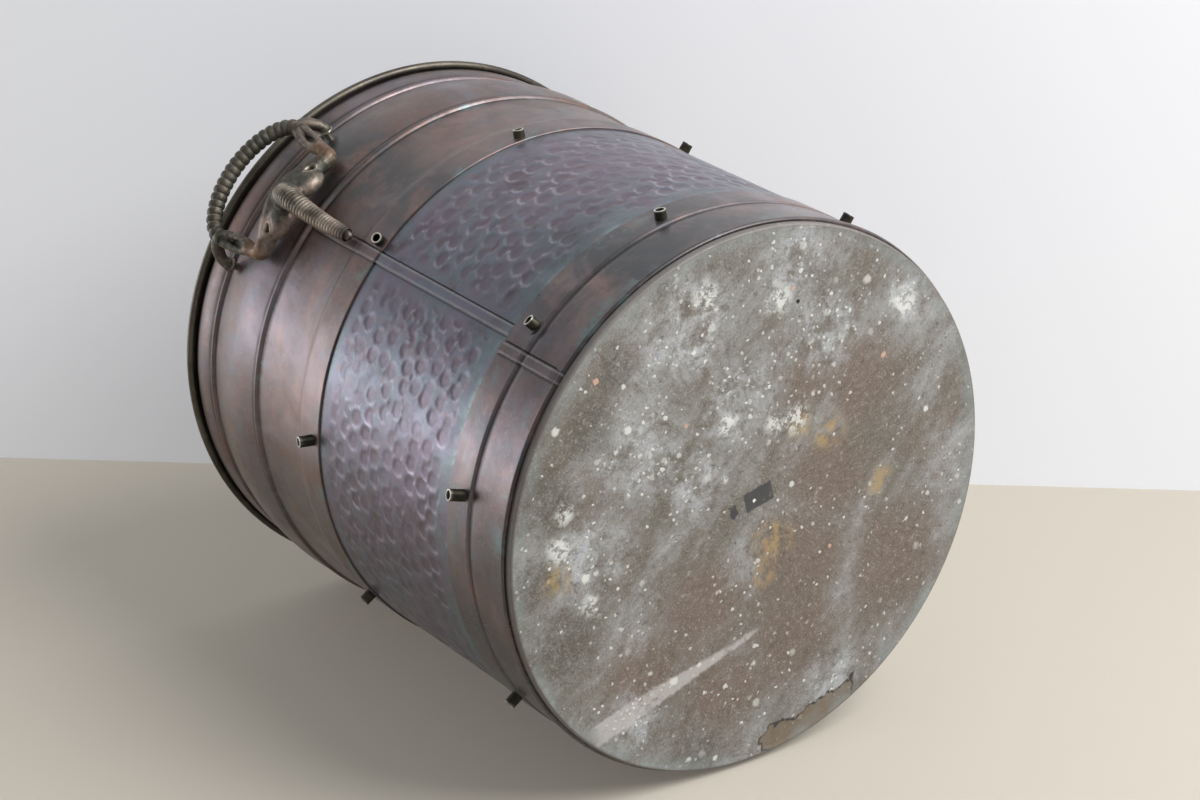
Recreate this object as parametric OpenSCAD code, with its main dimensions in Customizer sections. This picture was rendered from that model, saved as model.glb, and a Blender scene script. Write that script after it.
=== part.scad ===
// Hammered copper bucket with riveted bands, tube rivets and two elephant-head handles.
// It stands on its base: the origin is the middle of the underside, +Z is up, in millimetres.
// The main lock seam and one handle face +Y, the other handle faces -Y.

/* [Body] */
// Overall height, from the underside of the base plate to the top of the hoop
body_h = 312; // [240:1:400]
// Diameter of the wall line at the foot
foot_d = 275; // [210:1:340]
// Diameter of the wall line at the mouth
mouth_d = 291; // [230:1:360]
// Thickness of the sheet that the bands are made of
sheet_t = 1; // [0.7:0.1:1.4]

/* [Bands] */
// Height of the foot band above its lower lip
foot_band_h = 48; // [40:1:60]
// Height of the lap where one band is riveted over the next
lap_h = 17; // [14:1:24]
// Height of the plain stretch of the upper band, from the lap line to the bead
plain_h = 64.5; // [45:0.5:80]
// Height of the bulged stretch, from the bead to the upper ridge
bulged_h = 52.5; // [40:0.5:64]
// Height of the narrow stretch, from the upper ridge to the shoulder
narrow_h = 17; // [12:0.5:22]
// How far the bulged stretch stands out
bulge = 3; // [1:0.5:5]
// Width of the bead and of the upper ridge
bead_w = 4; // [3:0.5:6]
// How far the bead and the upper ridge stand out
bead_rise = 1.6; // [1:0.1:2.4]
// How far the wall draws in above the bead
draw_in = 2.2; // [1:0.1:3]

/* [Rim] */
// Thickness of the round hoop at the mouth
hoop_d = 4.6; // [4:0.2:8]
// How far the hoop stands out past the shoulder
hoop_out = 3.4; // [3:0.1:5]
// Height of the recess between the shoulder and the flange that carries the hoop
recess_h = 4.4; // [3:0.2:8]
// Depth of that recess, from the shoulder to the neck
recess_d = 4.2; // [3:0.2:6]

/* [Base plate] */
// How far the base plate stands below the lip of the foot band
plate_drop = 4; // [2:0.5:6]
// Height of the plate's turned-up flange inside the foot band
plate_flange_h = 14; // [8:1:24]
// Rounding of the plate's lower edge
plate_edge_r = 1.2; // [0.6:0.2:1.8]

/* [Lock seams] */
// Width of each raised lock seam
seam_w = 6; // [4:0.5:9]
// How far the lock seams stand out
seam_rise = 0.8; // [0.5:0.1:1.2]
// Width of the open line along one side of each seam
seam_line = 0.5; // [0.4:0.1:0.8]
// Direction of the seam in the hammered and upper bands, in degrees
seam_az = 89; // [86:0.5:89]
// Direction of the seam in the foot band, in degrees
foot_seam_az = 85.5; // [80:0.5:86]

/* [Tube rivets] */
// Number of tube rivets in each ring
stud_count = 9; // [6:1:14]
// Outside diameter of the tubes
stud_d = 5.8; // [4:0.2:7]
// Bore of the tubes
stud_bore = 4.2; // [2.6:0.2:5]
// How far the tubes stand out from the wall
stud_len = 7.5; // [4:0.5:12]
// Diameter of the flange that holds each tube inside the wall
stud_flange_d = 10; // [8:0.5:12]
// Thickness of that flange
stud_flange_t = 0.9; // [0.6:0.1:1.4]
// Direction of the first tube of each ring, in degrees
stud_az = 92; // [91.5:0.5:94]
// Height of the tube rivets above the lower edge of their lap
stud_up = 5.5; // [5.2:0.1:9]
// Running clearance round tubes and rivets in their holes
hole_clear = 0.1; // [0.05:0.05:0.3]

/* [Handles] */
// Half the width of the ribbed grip between the middles of its ends
grip_half = 32; // [29:1:38]
// Thickness of the grip
grip_d = 9; // [7:0.2:10]
// How far the ends of the grip stand out from the wall
grip_end_out = 16; // [12:0.5:20]
// How far the middle of the grip stands out from the wall
grip_mid_out = 20.5; // [19:0.5:32]
// Height of the grip's ends below the top of the hoop
grip_end_drop = 32; // [26:1:38]
// Height of the grip's middle below the top of the hoop
grip_mid_drop = 16.5; // [8:0.5:20]
// Height of the handle feet below the top of the hoop
foot_drop = 30; // [27:1:34]
// How far each foot stands out sideways past the end of the grip
foot_side = 11; // [9:1:14]
// Height of the elephant's brow below the top of the hoop
head_drop = 64; // [54:1:70]
// Half the width of the head between the eyes
head_half = 12; // [9:1:14]
// Length of the trunk, from the brow down to its tip
trunk_len = 56; // [46:1:62]
// Diameter of the rivets that hold the handles
rivet_d = 4; // [3:0.2:5]
// Diameter of their heads inside the bucket
rivet_head_d = 9; // [7:0.5:12]
// How far the rivets reach into the feet of the handles
rivet_reach = 2.2; // [1.5:0.1:3]

/* [Hidden] */
$fn = 96;
HANDLE_AZ = [90, 270];
foot_r = foot_d / 2;
mouth_r = mouth_d / 2;

// Heights of the lines round the body, from the foot up
lip_z = plate_drop;
foot_top_z = lip_z + foot_band_h;
hammer_low_z = foot_top_z - lap_h;
hoop_z = body_h - hoop_d / 2;
flange_low_z = hoop_z - sheet_t / 2;
shoulder_z = flange_low_z - recess_h;
ridge_z = shoulder_z - narrow_h;
bead_z = ridge_z - bulged_h;
lap_line_z = bead_z - plain_h;
hammer_top_z = lap_line_z + lap_h;
low_stud_z = hammer_low_z + stud_up;
high_stud_z = lap_line_z + stud_up;

// The wall line is the outside of the hammered band. The other bands lap over it.
function wall_r(z) = foot_r + (mouth_r - foot_r) * z / body_h;

// How far a flat round head of diameter d must stand in from the leaning, curved wall line to clear it
head_clear = 0.02;
function head_inset(d, r) = sheet_t + d * d / 8 / r + abs(mouth_r - foot_r) / body_h * d / 2 + head_clear;

// Where the outside of the upper band runs at its main lines
lap_step = 0.6;
edge_gap = 0.2;
lap_end_z = hammer_top_z + lap_step;
bead_r = wall_r(bead_z) + sheet_t - lap_step;
ridge_r = bead_r - draw_in / 2;
shoulder_r = bead_r + draw_in / 4;
neck_r = shoulder_r - recess_d;
hoop_r = shoulder_r + hoop_out - hoop_d / 2;

// The foot band's inside carries the base plate's flange
foot_in_r = wall_r(lip_z) + 0.1;
function foot_inside(z) =
    foot_in_r + (wall_r(hammer_low_z) - lap_step - foot_in_r) * (z - lip_z) / (hammer_low_z - lip_z);
lip_h = 3;
lip_rise = 0.9;
groove_w = 1.6;
groove_sink = 0.7;

// A shallow bow from the point a to the point b, standing out by h. The first point is left out.
function bow(a, b, h, n) =
    [for (i = [1 : n]) [a[0] + (b[0] - a[0]) * i / n + h * sin(180 * i / n), a[1] + (b[1] - a[1]) * i / n]];

// A sheet's section: the outside path, and the same path one thickness further in
function inwards(path, t) = [for (i = [len(path) - 1 : -1 : 0]) [path[i][0] - t, path[i][1]]];

module turned(points) {
    rotate_extrude($fn = 180) polygon(points);
}

// A raised strip up the wall: the part of a ring that spans its width at radius r
module strip(points, az, width, r) {
    span = width / r * 180 / PI;
    rotate([0, 0, az - span / 2]) rotate_extrude(angle = span, $fn = 180) polygon(points);
}

// A radial cylinder at direction az and height z, from radius r0 to radius r1
module radial(az, z, r0, r1, d) {
    rotate([0, 0, az]) translate([r0, 0, z]) rotate([0, 90, 0]) cylinder(d = d, h = r1 - r0, $fn = 32);
}

function stray(list, i) = i < len(list) ? list[i] : 0;
function high_stud_dir(i) = stud_az + i * 360 / stud_count + stray(high_stray, i);

// The holes were marked by hand, so some of them stray from an even spacing, in degrees
low_stray = [0, -7, 0, 0, 0, 0, 0, -3.5, 5];
high_stray = [0, -3, 0, 0, 0, 0, 0, -3, -3];
function low_stud_dir(i) = stud_az + i * 360 / stud_count + stray(low_stray, i);

module low_holes() {
    for (i = [0 : stud_count - 1])
        radial(low_stud_dir(i), low_stud_z, foot_r / 2, foot_r * 1.5, stud_d + 2 * hole_clear);
}

module high_holes() {
    for (i = [0 : stud_count - 1])
        radial(high_stud_dir(i), high_stud_z, foot_r / 2, foot_r * 1.5, stud_d + 2 * hole_clear);
}

// ---- Upper band: lap, plain stretch, bead, bulged stretch, ridge, narrow stretch, shoulder and neck

function upper_outside() = concat(
    [[wall_r(lap_line_z) + sheet_t, lap_line_z], [wall_r(lap_end_z) + sheet_t, lap_end_z],
     [wall_r(lap_end_z) + sheet_t - lap_step, lap_end_z + 3 * lap_step]],
    bow([wall_r(lap_end_z) + sheet_t - lap_step, lap_end_z + 3 * lap_step],
        [bead_r, bead_z - bead_w / 2], -0.5, 5),
    bow([bead_r, bead_z - bead_w / 2], [bead_r, bead_z + bead_w / 2], bead_rise, 6),
    bow([bead_r, bead_z + bead_w / 2], [ridge_r, ridge_z - bead_w / 2], bulge, 10),
    bow([ridge_r, ridge_z - bead_w / 2], [ridge_r, ridge_z + bead_w / 2], bead_rise, 6),
    bow([ridge_r, ridge_z + bead_w / 2], [shoulder_r, shoulder_z - 0.8], 0.6, 5)
);

module upper_band_section() {
    wall = upper_outside();
    polygon(concat(
        wall,
        [[shoulder_r - 0.8, shoulder_z], [neck_r, shoulder_z], [neck_r, flange_low_z],
         [hoop_r, flange_low_z], [hoop_r, flange_low_z + sheet_t],
         [neck_r - sheet_t / 2, flange_low_z + sheet_t],
         [neck_r - sheet_t, flange_low_z + sheet_t / 2],
         [neck_r - sheet_t, shoulder_z - sheet_t], [shoulder_r - sheet_t, shoulder_z - sheet_t]],
        inwards([for (i = [0 : len(wall) - 2]) wall[i]], sheet_t)
    ));
}

module upper_band() {
    wall = upper_outside();
    seam_top = [for (p = wall) if (p[1] <= bead_z - bead_w / 2) p];
    color([0.47, 0.37, 0.36]) difference() {
        union() {
            rotate_extrude($fn = 180) upper_band_section();
            strip(concat([for (p = seam_top) [p[0] + seam_rise, p[1]]], inwards(seam_top, sheet_t / 2)),
                  seam_az, seam_w, wall_r(lap_line_z));
        }
        seam_slit(concat([[wall[0][0], lap_line_z - 1]], seam_top), seam_az);
        high_holes();
        rivet_holes();
    }
}

// The open line beside a lock seam: a shallow slit that follows the sheet along the path
module seam_slit(path, az) {
    r = path[0][0];
    strip(concat([for (p = path) [p[0] + 3, p[1]]], inwards(path, seam_line / 3)),
          az + seam_w / 2 / r * 180 / PI, seam_line, r);
}

// ---- Hammered band: one rolled sheet, closed by the main lock seam between its two laps

function hammered_line(z, out) = [wall_r(z) + out, z];

module hammered_band() {
    color([0.4, 0.35, 0.39]) difference() {
        union() {
            turned([hammered_line(hammer_low_z, 0), hammered_line(hammer_top_z, 0),
                    hammered_line(hammer_top_z, -sheet_t), hammered_line(hammer_low_z, -sheet_t)]);
            strip([hammered_line(foot_top_z + edge_gap, seam_rise),
                   hammered_line(lap_line_z - edge_gap, seam_rise),
                   hammered_line(lap_line_z - edge_gap, -sheet_t / 2),
                   hammered_line(foot_top_z + edge_gap, -sheet_t / 2)],
                  seam_az, seam_w, wall_r(lap_line_z));
        }
        seam_slit([hammered_line(foot_top_z - 1, 0), hammered_line(lap_line_z + 1, 0)], seam_az);
        high_holes();
        low_holes();
    }
}

// ---- Foot band: hemmed lip, plain stretch, groove, and the strip that laps over the hammered band

hem_top_z = lip_z + lip_h;
lap_low_z = hammer_low_z - edge_gap;
function plain_foot(z) = [foot_inside(z) + sheet_t, z];

function foot_outside() = concat(
    [plain_foot(lip_z)],
    bow(plain_foot(lip_z), plain_foot(hem_top_z), lip_rise, 6),
    [plain_foot(hammer_low_z - 2 * groove_w),
     plain_foot(hammer_low_z - groove_w) - [groove_sink, 0],
     plain_foot(hammer_low_z - groove_w / 2) - [groove_sink, 0],
     [wall_r(lap_low_z) + sheet_t, lap_low_z],
     [wall_r(foot_top_z) + sheet_t, foot_top_z]]
);

module foot_band() {
    wall = foot_outside();
    seam = concat([plain_foot(hem_top_z + 1)], [for (p = wall) if (p[1] > hem_top_z + 1) p]);
    color([0.42, 0.36, 0.37]) difference() {
        union() {
            turned(concat(wall,
                [[wall_r(foot_top_z), foot_top_z], [wall_r(lap_low_z), lap_low_z],
                 [foot_inside(hammer_low_z - groove_w) - groove_sink / 2, hammer_low_z - groove_w / 2],
                 [foot_inside(hammer_low_z - 2 * groove_w), hammer_low_z - 2 * groove_w],
                 [foot_inside(lip_z), lip_z]]));
            strip(concat([for (p = seam) [p[0] + seam_rise, p[1]]], inwards(seam, sheet_t / 2)),
                  foot_seam_az, seam_w, foot_r);
        }
        seam_slit([plain_foot(hem_top_z + 2), plain_foot(hammer_low_z - 3 * groove_w)], foot_seam_az);
        low_holes();
    }
}

// ---- Base plate: a shallow pan pushed up into the foot band, proud of its lip

module base_plate() {
    rim_z = lip_z + plate_flange_h;
    flat_r = foot_in_r - plate_edge_r;
    edge = [for (a = [-90 : 15 : 0]) [flat_r + plate_edge_r * cos(a), plate_edge_r * (1 + sin(a))]];
    color([0.5, 0.48, 0.45]) rotate_extrude($fn = 180) polygon(concat(
        [[0, 0]], edge,
        [[foot_inside(lip_z), lip_z], [foot_inside(rim_z), rim_z], [foot_inside(rim_z) - sheet_t, rim_z],
         [foot_in_r - sheet_t, lip_z], [foot_in_r - sheet_t, sheet_t + 1],
         [foot_in_r - sheet_t - 1, sheet_t], [0, sheet_t]]
    ));
}

// ---- Rim hoop: a round hoop, slotted on its inner side over the flange of the upper band

module rim_hoop() {
    color([0.42, 0.38, 0.28]) rotate_extrude($fn = 180) difference() {
        translate([hoop_r, hoop_z]) circle(d = hoop_d, $fn = 48);
        translate([hoop_r - hoop_d, flange_low_z]) square([hoop_d, sheet_t]);
    }
}

// ---- Tube rivets: a flange inside the wall, and an open tube that stands out through both bands

module tube_rivet(az, z) {
    in_r = wall_r(z) - head_inset(stud_flange_d, wall_r(z));
    out_r = wall_r(z) + sheet_t + stud_len;
    color([0.46, 0.42, 0.3]) difference() {
        union() {
            radial(az, z, in_r - stud_flange_t, in_r, stud_flange_d);
            radial(az, z, in_r - stud_flange_t, out_r, stud_d);
        }
        radial(az, z, in_r - stud_flange_t - 1, out_r + 1, stud_bore);
    }
}

// ---- Handle rivets: round heads inside the wall, with shanks that end in the feet of the handles

foot_z = body_h - foot_drop;
foot_arc = (grip_half + foot_side) / mouth_r * 180 / PI;
RIVET_SIDES = [-1, 1];
rivet_in_r = min([for (p = upper_outside()) if (abs(p[1] - foot_z) < rivet_head_d) p[0]])
    - head_inset(rivet_head_d, ridge_r);

module rivet_holes() {
    for (az = HANDLE_AZ, side = RIVET_SIDES)
        radial(az + side * foot_arc, foot_z, foot_r / 2, foot_r * 1.5, rivet_d + 2 * hole_clear);
}

module handle_rivet(i) {
    az = HANDLE_AZ[floor(i / 2)] + RIVET_SIDES[i % 2] * foot_arc;
    color([0.5, 0.42, 0.26]) union() {
        radial(az, foot_z, rivet_in_r - 1, rivet_in_r, rivet_head_d);
        radial(az, foot_z, rivet_in_r - 1, foot_seat_r + rivet_reach, rivet_d);
    }
}

// ---- Handles: one casting each, with feet, side arms, ribbed grip, head and trunk

handle_clear = 0.1;
foot_seat_r = max([for (p = upper_outside()) if (abs(p[1] - foot_z) < 8) p[0]]) + handle_clear;
foot_pad_d = rivet_d + 5;
hole_end = 0.3;
brow_z = body_h - head_drop;

// A point of the handle: u along the wall, out from it, at height z
function on_handle(u, out, z) =
    [(wall_r(z) + out) * sin(u / mouth_r * 180 / PI), (wall_r(z) + out) * cos(u / mouth_r * 180 / PI), z];

// The grip's middle line, from one end (0) over the middle (90) to the other end (180)
function grip_point(a) = on_handle(
    grip_half * cos(a),
    grip_end_out + (grip_mid_out - grip_end_out) * sin(a),
    body_h - grip_end_drop + (grip_end_drop - grip_mid_drop) * sin(a)
);

function unit(v) = v / norm(v);

// A smooth run of [at, radius] pairs through the given ones, with n steps between neighbours
function smooth(knots, n) =
    let (last = len(knots) - 1)
    concat([for (i = [0 : last - 1], j = [0 : n - 1])
        let (t = j / n, a = knots[max(i - 1, 0)], b = knots[i], c = knots[i + 1],
             d = knots[min(i + 2, last)])
        b + t * (c - a) / 2 + t * t * (2 * a - 5 * b + 4 * c - d) / 2
            + t * t * t * (3 * b - a - 3 * c + d) / 2],
        [knots[last]]);

// One ring of a limb's round section, square to its run
function limb_ring(run, i, up, sides) =
    let (t = unit(run[min(i + 1, len(run) - 1)][0] - run[max(i - 1, 0)][0]),
         n = unit(cross(t, up)), b = cross(t, n), turn = 360 / sides)
    [for (k = [0 : sides - 1]) run[i][0] + run[i][1] * (cos(k * turn) * n + sin(k * turn) * b)];

// A round limb along a run of [at, radius] pairs. The direction up is never along the run.
module limb(run, up, sides = 14) {
    last = len(run) - 1;
    polyhedron([for (i = [0 : last]) each limb_ring(run, i, up, sides)], concat(
        [for (i = [0 : last - 1], k = [0 : sides - 1])
            [i * sides + k, (i + 1) * sides + k,
             (i + 1) * sides + (k + 1) % sides, i * sides + (k + 1) % sides]],
        [[for (k = [0 : sides - 1]) k], [for (k = [sides - 1 : -1 : 0]) last * sides + k]]));
}

module grip() {
    limb([for (i = [0 : 24]) [grip_point(i * 7.5), grip_d / 2]], [0, 0, 1]);
}

module ball(at, r) {
    translate(at) sphere(r = r, $fn = 24);
}

// Side arm and foot on one side of the head
module handle_side(s) {
    end_z = body_h - grip_end_drop;
    limb(smooth([[on_handle(s * grip_half, grip_end_out, end_z), 3.6],
                 [on_handle(s * (grip_half - 3), grip_end_out - 3, end_z - 12), 3.4],
                 [on_handle(s * (grip_half - 5), grip_end_out - 5, brow_z + 7), 3.3],
                 [on_handle(s * (head_half + 5), 10, brow_z), 4],
                 [on_handle(s * (head_half - 4), 10, brow_z - 4), 4]], 4), [0, 1, 0]);
    ball(on_handle(s * grip_half, grip_end_out, end_z), grip_d / 2 + 0.4);
    hull() {
        translate(on_handle(s * grip_half, grip_end_out - 1, end_z)) sphere(r = 3, $fn = 16);
        rotate([0, 0, -s * foot_arc]) translate([0, foot_seat_r + 2, foot_z]) rotate([90, 0, 0])
            cylinder(d = foot_pad_d, h = 6, $fn = 24);
    }
}

module handle_head() {
    hull() {
        for (s = [-1, 1]) translate(on_handle(s * head_half, 9, brow_z)) sphere(r = 7, $fn = 20);
        translate(on_handle(0, 13, brow_z + 3)) sphere(r = 8, $fn = 20);
        translate(on_handle(0, 17, brow_z - 12)) sphere(r = 8, $fn = 20);
    }
    tip = on_handle(0, 5.6, brow_z - trunk_len + 4);
    limb(smooth([[on_handle(0, 17, brow_z - 6), 6],
                 [on_handle(0, 19, brow_z - 13), 7.8],
                 [on_handle(0, 15, brow_z - 25), 6.2],
                 [on_handle(0, 9.5, brow_z - 38), 5],
                 [tip, 3.8]], 4), [0, 1, 0]);
    ball(tip, 4);
}

// The space that the body takes up, which every handle is cut clear of
module body_space() {
    wall = upper_outside();
    gap = handle_clear;
    rotate_extrude($fn = 180) polygon(concat(
        [[foot_r / 2, lap_line_z - 20], [wall_r(lap_line_z) + sheet_t + seam_rise + gap, lap_line_z - 20]],
        [for (p = wall) [p[0] + gap + (p[1] < bead_z ? seam_rise : 0), p[1]]],
        [[shoulder_r + gap, shoulder_z + gap], [hoop_r + hoop_d / 2 + gap, shoulder_z + gap],
         [hoop_r + hoop_d / 2 + gap, body_h + 10], [foot_r / 2, body_h + 10]]
    ));
}

module handle(az) {
    color([0.5, 0.45, 0.36]) rotate([0, 0, az - 90]) difference() {
        union() {
            grip();
            for (s = [-1, 1]) handle_side(s);
            handle_head();
        }
        body_space();
        for (s = RIVET_SIDES)
            radial(90 + s * foot_arc, foot_z, foot_r / 2, foot_seat_r + rivet_reach + hole_end,
                   rivet_d + 2 * hole_clear);
    }
}

// ---- Nodes

HANDLES = ["handle_back", "handle_front"];

base_plate();
foot_band();
hammered_band();
upper_band();
rim_hoop();
for (i = [0, 1])
    handle(HANDLE_AZ[i]);
for (i = [0 : 3])
    handle_rivet(i);
for (i = [0 : stud_count - 1])
    tube_rivet(low_stud_dir(i), low_stud_z);
for (i = [0 : stud_count - 1])
    tube_rivet(high_stud_dir(i), high_stud_z);
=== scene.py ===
import math

import bmesh
import bpy
import numpy as np
from mathutils import Matrix, Vector, noise


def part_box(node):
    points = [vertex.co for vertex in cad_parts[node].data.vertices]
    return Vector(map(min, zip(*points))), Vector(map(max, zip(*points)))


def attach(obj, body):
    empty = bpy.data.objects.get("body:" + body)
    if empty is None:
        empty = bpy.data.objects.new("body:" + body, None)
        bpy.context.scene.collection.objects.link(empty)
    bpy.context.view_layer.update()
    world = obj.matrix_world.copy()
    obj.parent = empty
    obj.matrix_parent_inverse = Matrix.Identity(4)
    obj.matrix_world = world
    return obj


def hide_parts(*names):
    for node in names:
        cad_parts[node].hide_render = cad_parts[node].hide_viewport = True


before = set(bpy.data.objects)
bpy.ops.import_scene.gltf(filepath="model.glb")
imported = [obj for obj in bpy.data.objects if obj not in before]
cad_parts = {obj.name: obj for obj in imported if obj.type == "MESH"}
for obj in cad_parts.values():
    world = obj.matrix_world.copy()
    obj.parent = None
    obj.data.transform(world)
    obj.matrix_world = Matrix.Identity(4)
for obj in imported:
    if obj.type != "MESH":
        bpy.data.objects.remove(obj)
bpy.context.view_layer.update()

# A tarnished bucket of hammered copper. Lengths are in metres, with +Z up from the middle of its base.

MM = 0.001
TAU = 2 * math.pi

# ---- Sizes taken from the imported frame


def span(node):
    """Lowest height, highest height and widest radius of a CAD node that runs round the body."""
    low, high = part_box(node)
    return low.z, high.z, high.x


LIP_Z, FOOT_TOP_Z, _ = span("foot_band")
HAMMER_LOW_Z, HAMMER_TOP_Z, HAMMER_TOP_R = span("hammered_band")
LAP_LINE_Z, _, _ = span("upper_band")
HOOP_LOW_Z, BODY_H, HOOP_OUT_R = span("rim_hoop")

SHEET = 1 * MM
TAPER = 8 / 312  # how much the wall's radius grows for each unit of height
HOOP_D = BODY_H - HOOP_LOW_Z
HOOP_R = HOOP_OUT_R - HOOP_D / 2
HOOP_Z = BODY_H - HOOP_D / 2
FLANGE_LOW_Z = HOOP_Z - SHEET / 2
SHOULDER_Z = FLANGE_LOW_Z - 4.4 * MM
RIDGE_Z = SHOULDER_Z - 17 * MM
BEAD_Z = RIDGE_Z - 52.5 * MM
LAP_STEP = 0.6 * MM
MAIN_SEAM = math.radians(89)
FOOT_SEAM = math.radians(85.5)
SEAM_W = 6 * MM
SEAM_RISE = 0.8 * MM
SPREAD_Z = 100 * MM  # lengths round the wall are measured at this height


def wall_r(z):
    """Radius of the outside of the hammered sheet at height z."""
    return HAMMER_TOP_R + TAPER * (z - HAMMER_TOP_Z)


MOUTH_R = wall_r(BODY_H)
FOOT_IN_R = wall_r(LIP_Z) + 0.1 * MM


def foot_inside(z):
    """Radius of the inside of the foot band below its lap."""
    low, high = FOOT_IN_R, wall_r(HAMMER_LOW_Z) - LAP_STEP
    return low + (high - low) * (z - LIP_Z) / (HAMMER_LOW_Z - LIP_Z)


# ---- Small tools for meshes


def smoothstep(x, low, high):
    """0 below low, 1 above high and a smooth rise between them, for numbers or arrays."""
    t = np.clip((x - low) / (high - low), 0, 1)
    return t * t * (3 - 2 * t)


def placed(name, data):
    """A new object with this mesh, lamp or camera, put in the scene."""
    obj = bpy.data.objects.new(name, data)
    bpy.context.scene.collection.objects.link(obj)
    return obj


def piece(name, mesh, material, slot, *replaced):
    """Puts a finished mesh in the scene as a piece of the bucket."""
    obj = placed(name, mesh)
    mesh.materials.clear()
    mesh.materials.append(material)
    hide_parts(*replaced)
    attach(obj, "root")
    return obj


def baked(obj):
    """The plain mesh that an object's modifiers make. The object is removed."""
    bpy.context.view_layer.update()
    graph = bpy.context.evaluated_depsgraph_get()
    made = bpy.data.meshes.new_from_object(
        obj.evaluated_get(graph), preserve_all_data_layers=True, depsgraph=graph)
    bpy.data.objects.remove(obj)
    return made


def shaded(mesh, crease):
    """The same mesh, smooth but for the edges where faces meet at more than crease degrees."""
    mesh.shade_smooth()
    mesh.set_sharp_from_angle(angle=math.radians(crease))
    return mesh


def mesh_from(name, points, faces, crease=35):
    """A shaded mesh from points and the corners of its faces."""
    mesh = bpy.data.meshes.new(name)
    mesh.from_pydata([tuple(p) for p in points], [], faces)
    return shaded(mesh, crease)


def store(mesh, name, values):
    """Stores one number or one vector a vertex, for the finish or a Geometry Nodes tree to read."""
    values = np.asarray(values, np.float32)
    kind, field = ("FLOAT_VECTOR", "vector") if values.ndim == 2 else ("FLOAT", "value")
    mesh.attributes.new(name, kind, "POINT").data.foreach_set(field, values.ravel())


def read(rows, field, width):
    """A field of all vertices or edges of a mesh, as rows of width numbers."""
    values = np.zeros(len(rows) * width, int if field == "vertices" else float)
    rows.foreach_get(field, values)
    return values.reshape(-1, width)


def grid_faces(rows, cols, closed):
    """The faces of a grid of points whose rows are rings. If closed, its last row joins its first."""
    row, col = np.meshgrid(np.arange(rows if closed else rows - 1), np.arange(cols), indexing="ij")
    next_row, next_col = (row + 1) % rows, (col + 1) % cols
    corners = [row * cols + col, row * cols + next_col, next_row * cols + next_col, next_row * cols + col]
    return np.stack(corners, axis=2).reshape(-1, 4).tolist()


def swept(path, turns):
    """Azimuth, radius and height of every point of a (radius, height) path turned round the body."""
    azimuth, radius = np.meshgrid(turns, path[:, 0])
    return azimuth, radius, np.repeat(path[:, 1][:, None], len(turns), axis=1)


def directions(step, fine=()):
    """Azimuths round the body, step apart, and closer together in each (middle, half width, step) zone."""
    turns = np.linspace(0, TAU, round(TAU / step), endpoint=False)
    for middle, half, fine_step in fine:
        away = np.abs((turns - middle + math.pi) % TAU - math.pi)
        turns = turns[away > half]
        turns = np.append(turns, middle + np.arange(-half, half, fine_step))
    return np.sort(turns % TAU)


def grain(x, y, z, scale, seed):
    """Smooth noise from -1 to 1 at each point, with features about 1 / scale long."""
    offset = Vector((seed * 7.31, seed * 3.17, seed * 1.93))
    return np.array([noise.noise(Vector(p) * scale + offset) for p in zip(x, y, z)])


def turned_sheet(name, outside, inside, turns, bend, raised=None):
    """A ring of sheet metal. outside and inside are paths of (radius, height) from the bottom up.
    bend(azimuth, height) moves the whole sheet in or out, and raised only its outside."""
    path = np.array(list(outside) + list(inside)[::-1])
    is_out = np.array([1.0] * len(outside) + [0.0] * len(inside))
    azimuth, radius, height = swept(path, turns)
    radius = radius + bend(azimuth, height)
    if raised:
        radius = radius + raised(azimuth, height) * is_out[:, None]
    points = np.stack([radius * np.cos(azimuth), radius * np.sin(azimuth), height], axis=2)
    points = points.reshape(-1, 3)
    return mesh_from(name, points, grid_faces(len(path), len(turns), True))


def arc_path(start, end, rise, count):
    """Points of a shallow bow from start to end that stands out by rise. The first point is left out."""
    (r0, z0), (r1, z1) = start, end
    steps = [i / count for i in range(1, count + 1)]
    return [(r0 + (r1 - r0) * t + rise * math.sin(math.pi * t), z0 + (z1 - z0) * t) for t in steps]


def straight(start, end, step):
    """Points along a straight line, about step apart. The first point is left out."""
    (r0, z0), (r1, z1) = start, end
    count = max(1, round(math.hypot(r1 - r0, z1 - z0) / step))
    return [(r0 + (r1 - r0) * i / count, z0 + (z1 - z0) * i / count) for i in range(1, count + 1)]


def arc_from(azimuth, middle):
    """Signed length along the wall from the azimuth middle, for azimuths in radians."""
    return ((azimuth - middle + math.pi) % TAU - math.pi) * wall_r(SPREAD_Z)


def lock_seam(middle, low, high):
    """A raised lock seam: a flat strip with an open line along its leading side."""
    half = SEAM_W / 2

    def shape(azimuth, height):
        side = arc_from(azimuth, middle)
        strip = SEAM_RISE * smoothstep(half - np.abs(side), 0, 0.35 * MM)
        line = 0.45 * MM * smoothstep(0.45 * MM - np.abs(side - half - 0.3 * MM), 0, 0.25 * MM)
        ends = smoothstep(height, low, low + 0.5 * MM) * smoothstep(high - height, 0, 0.5 * MM)
        return (strip - line) * ends

    return shape


def waves(amount, seed):
    """Slow unevenness of a hand-worked sheet, as a bend for turned_sheet."""
    generator = np.random.default_rng(seed)
    terms = [(generator.integers(2, 9), generator.uniform(0, TAU), generator.uniform(-60, 60),
              generator.uniform(0.3, 1)) for _ in range(9)]

    def shape(azimuth, height):
        total = sum(w * np.sin(n * azimuth + phase + lean * height) for n, phase, lean, w in terms)
        return amount * total / 3

    return shape


# ---- Small tools for node trees


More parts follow.
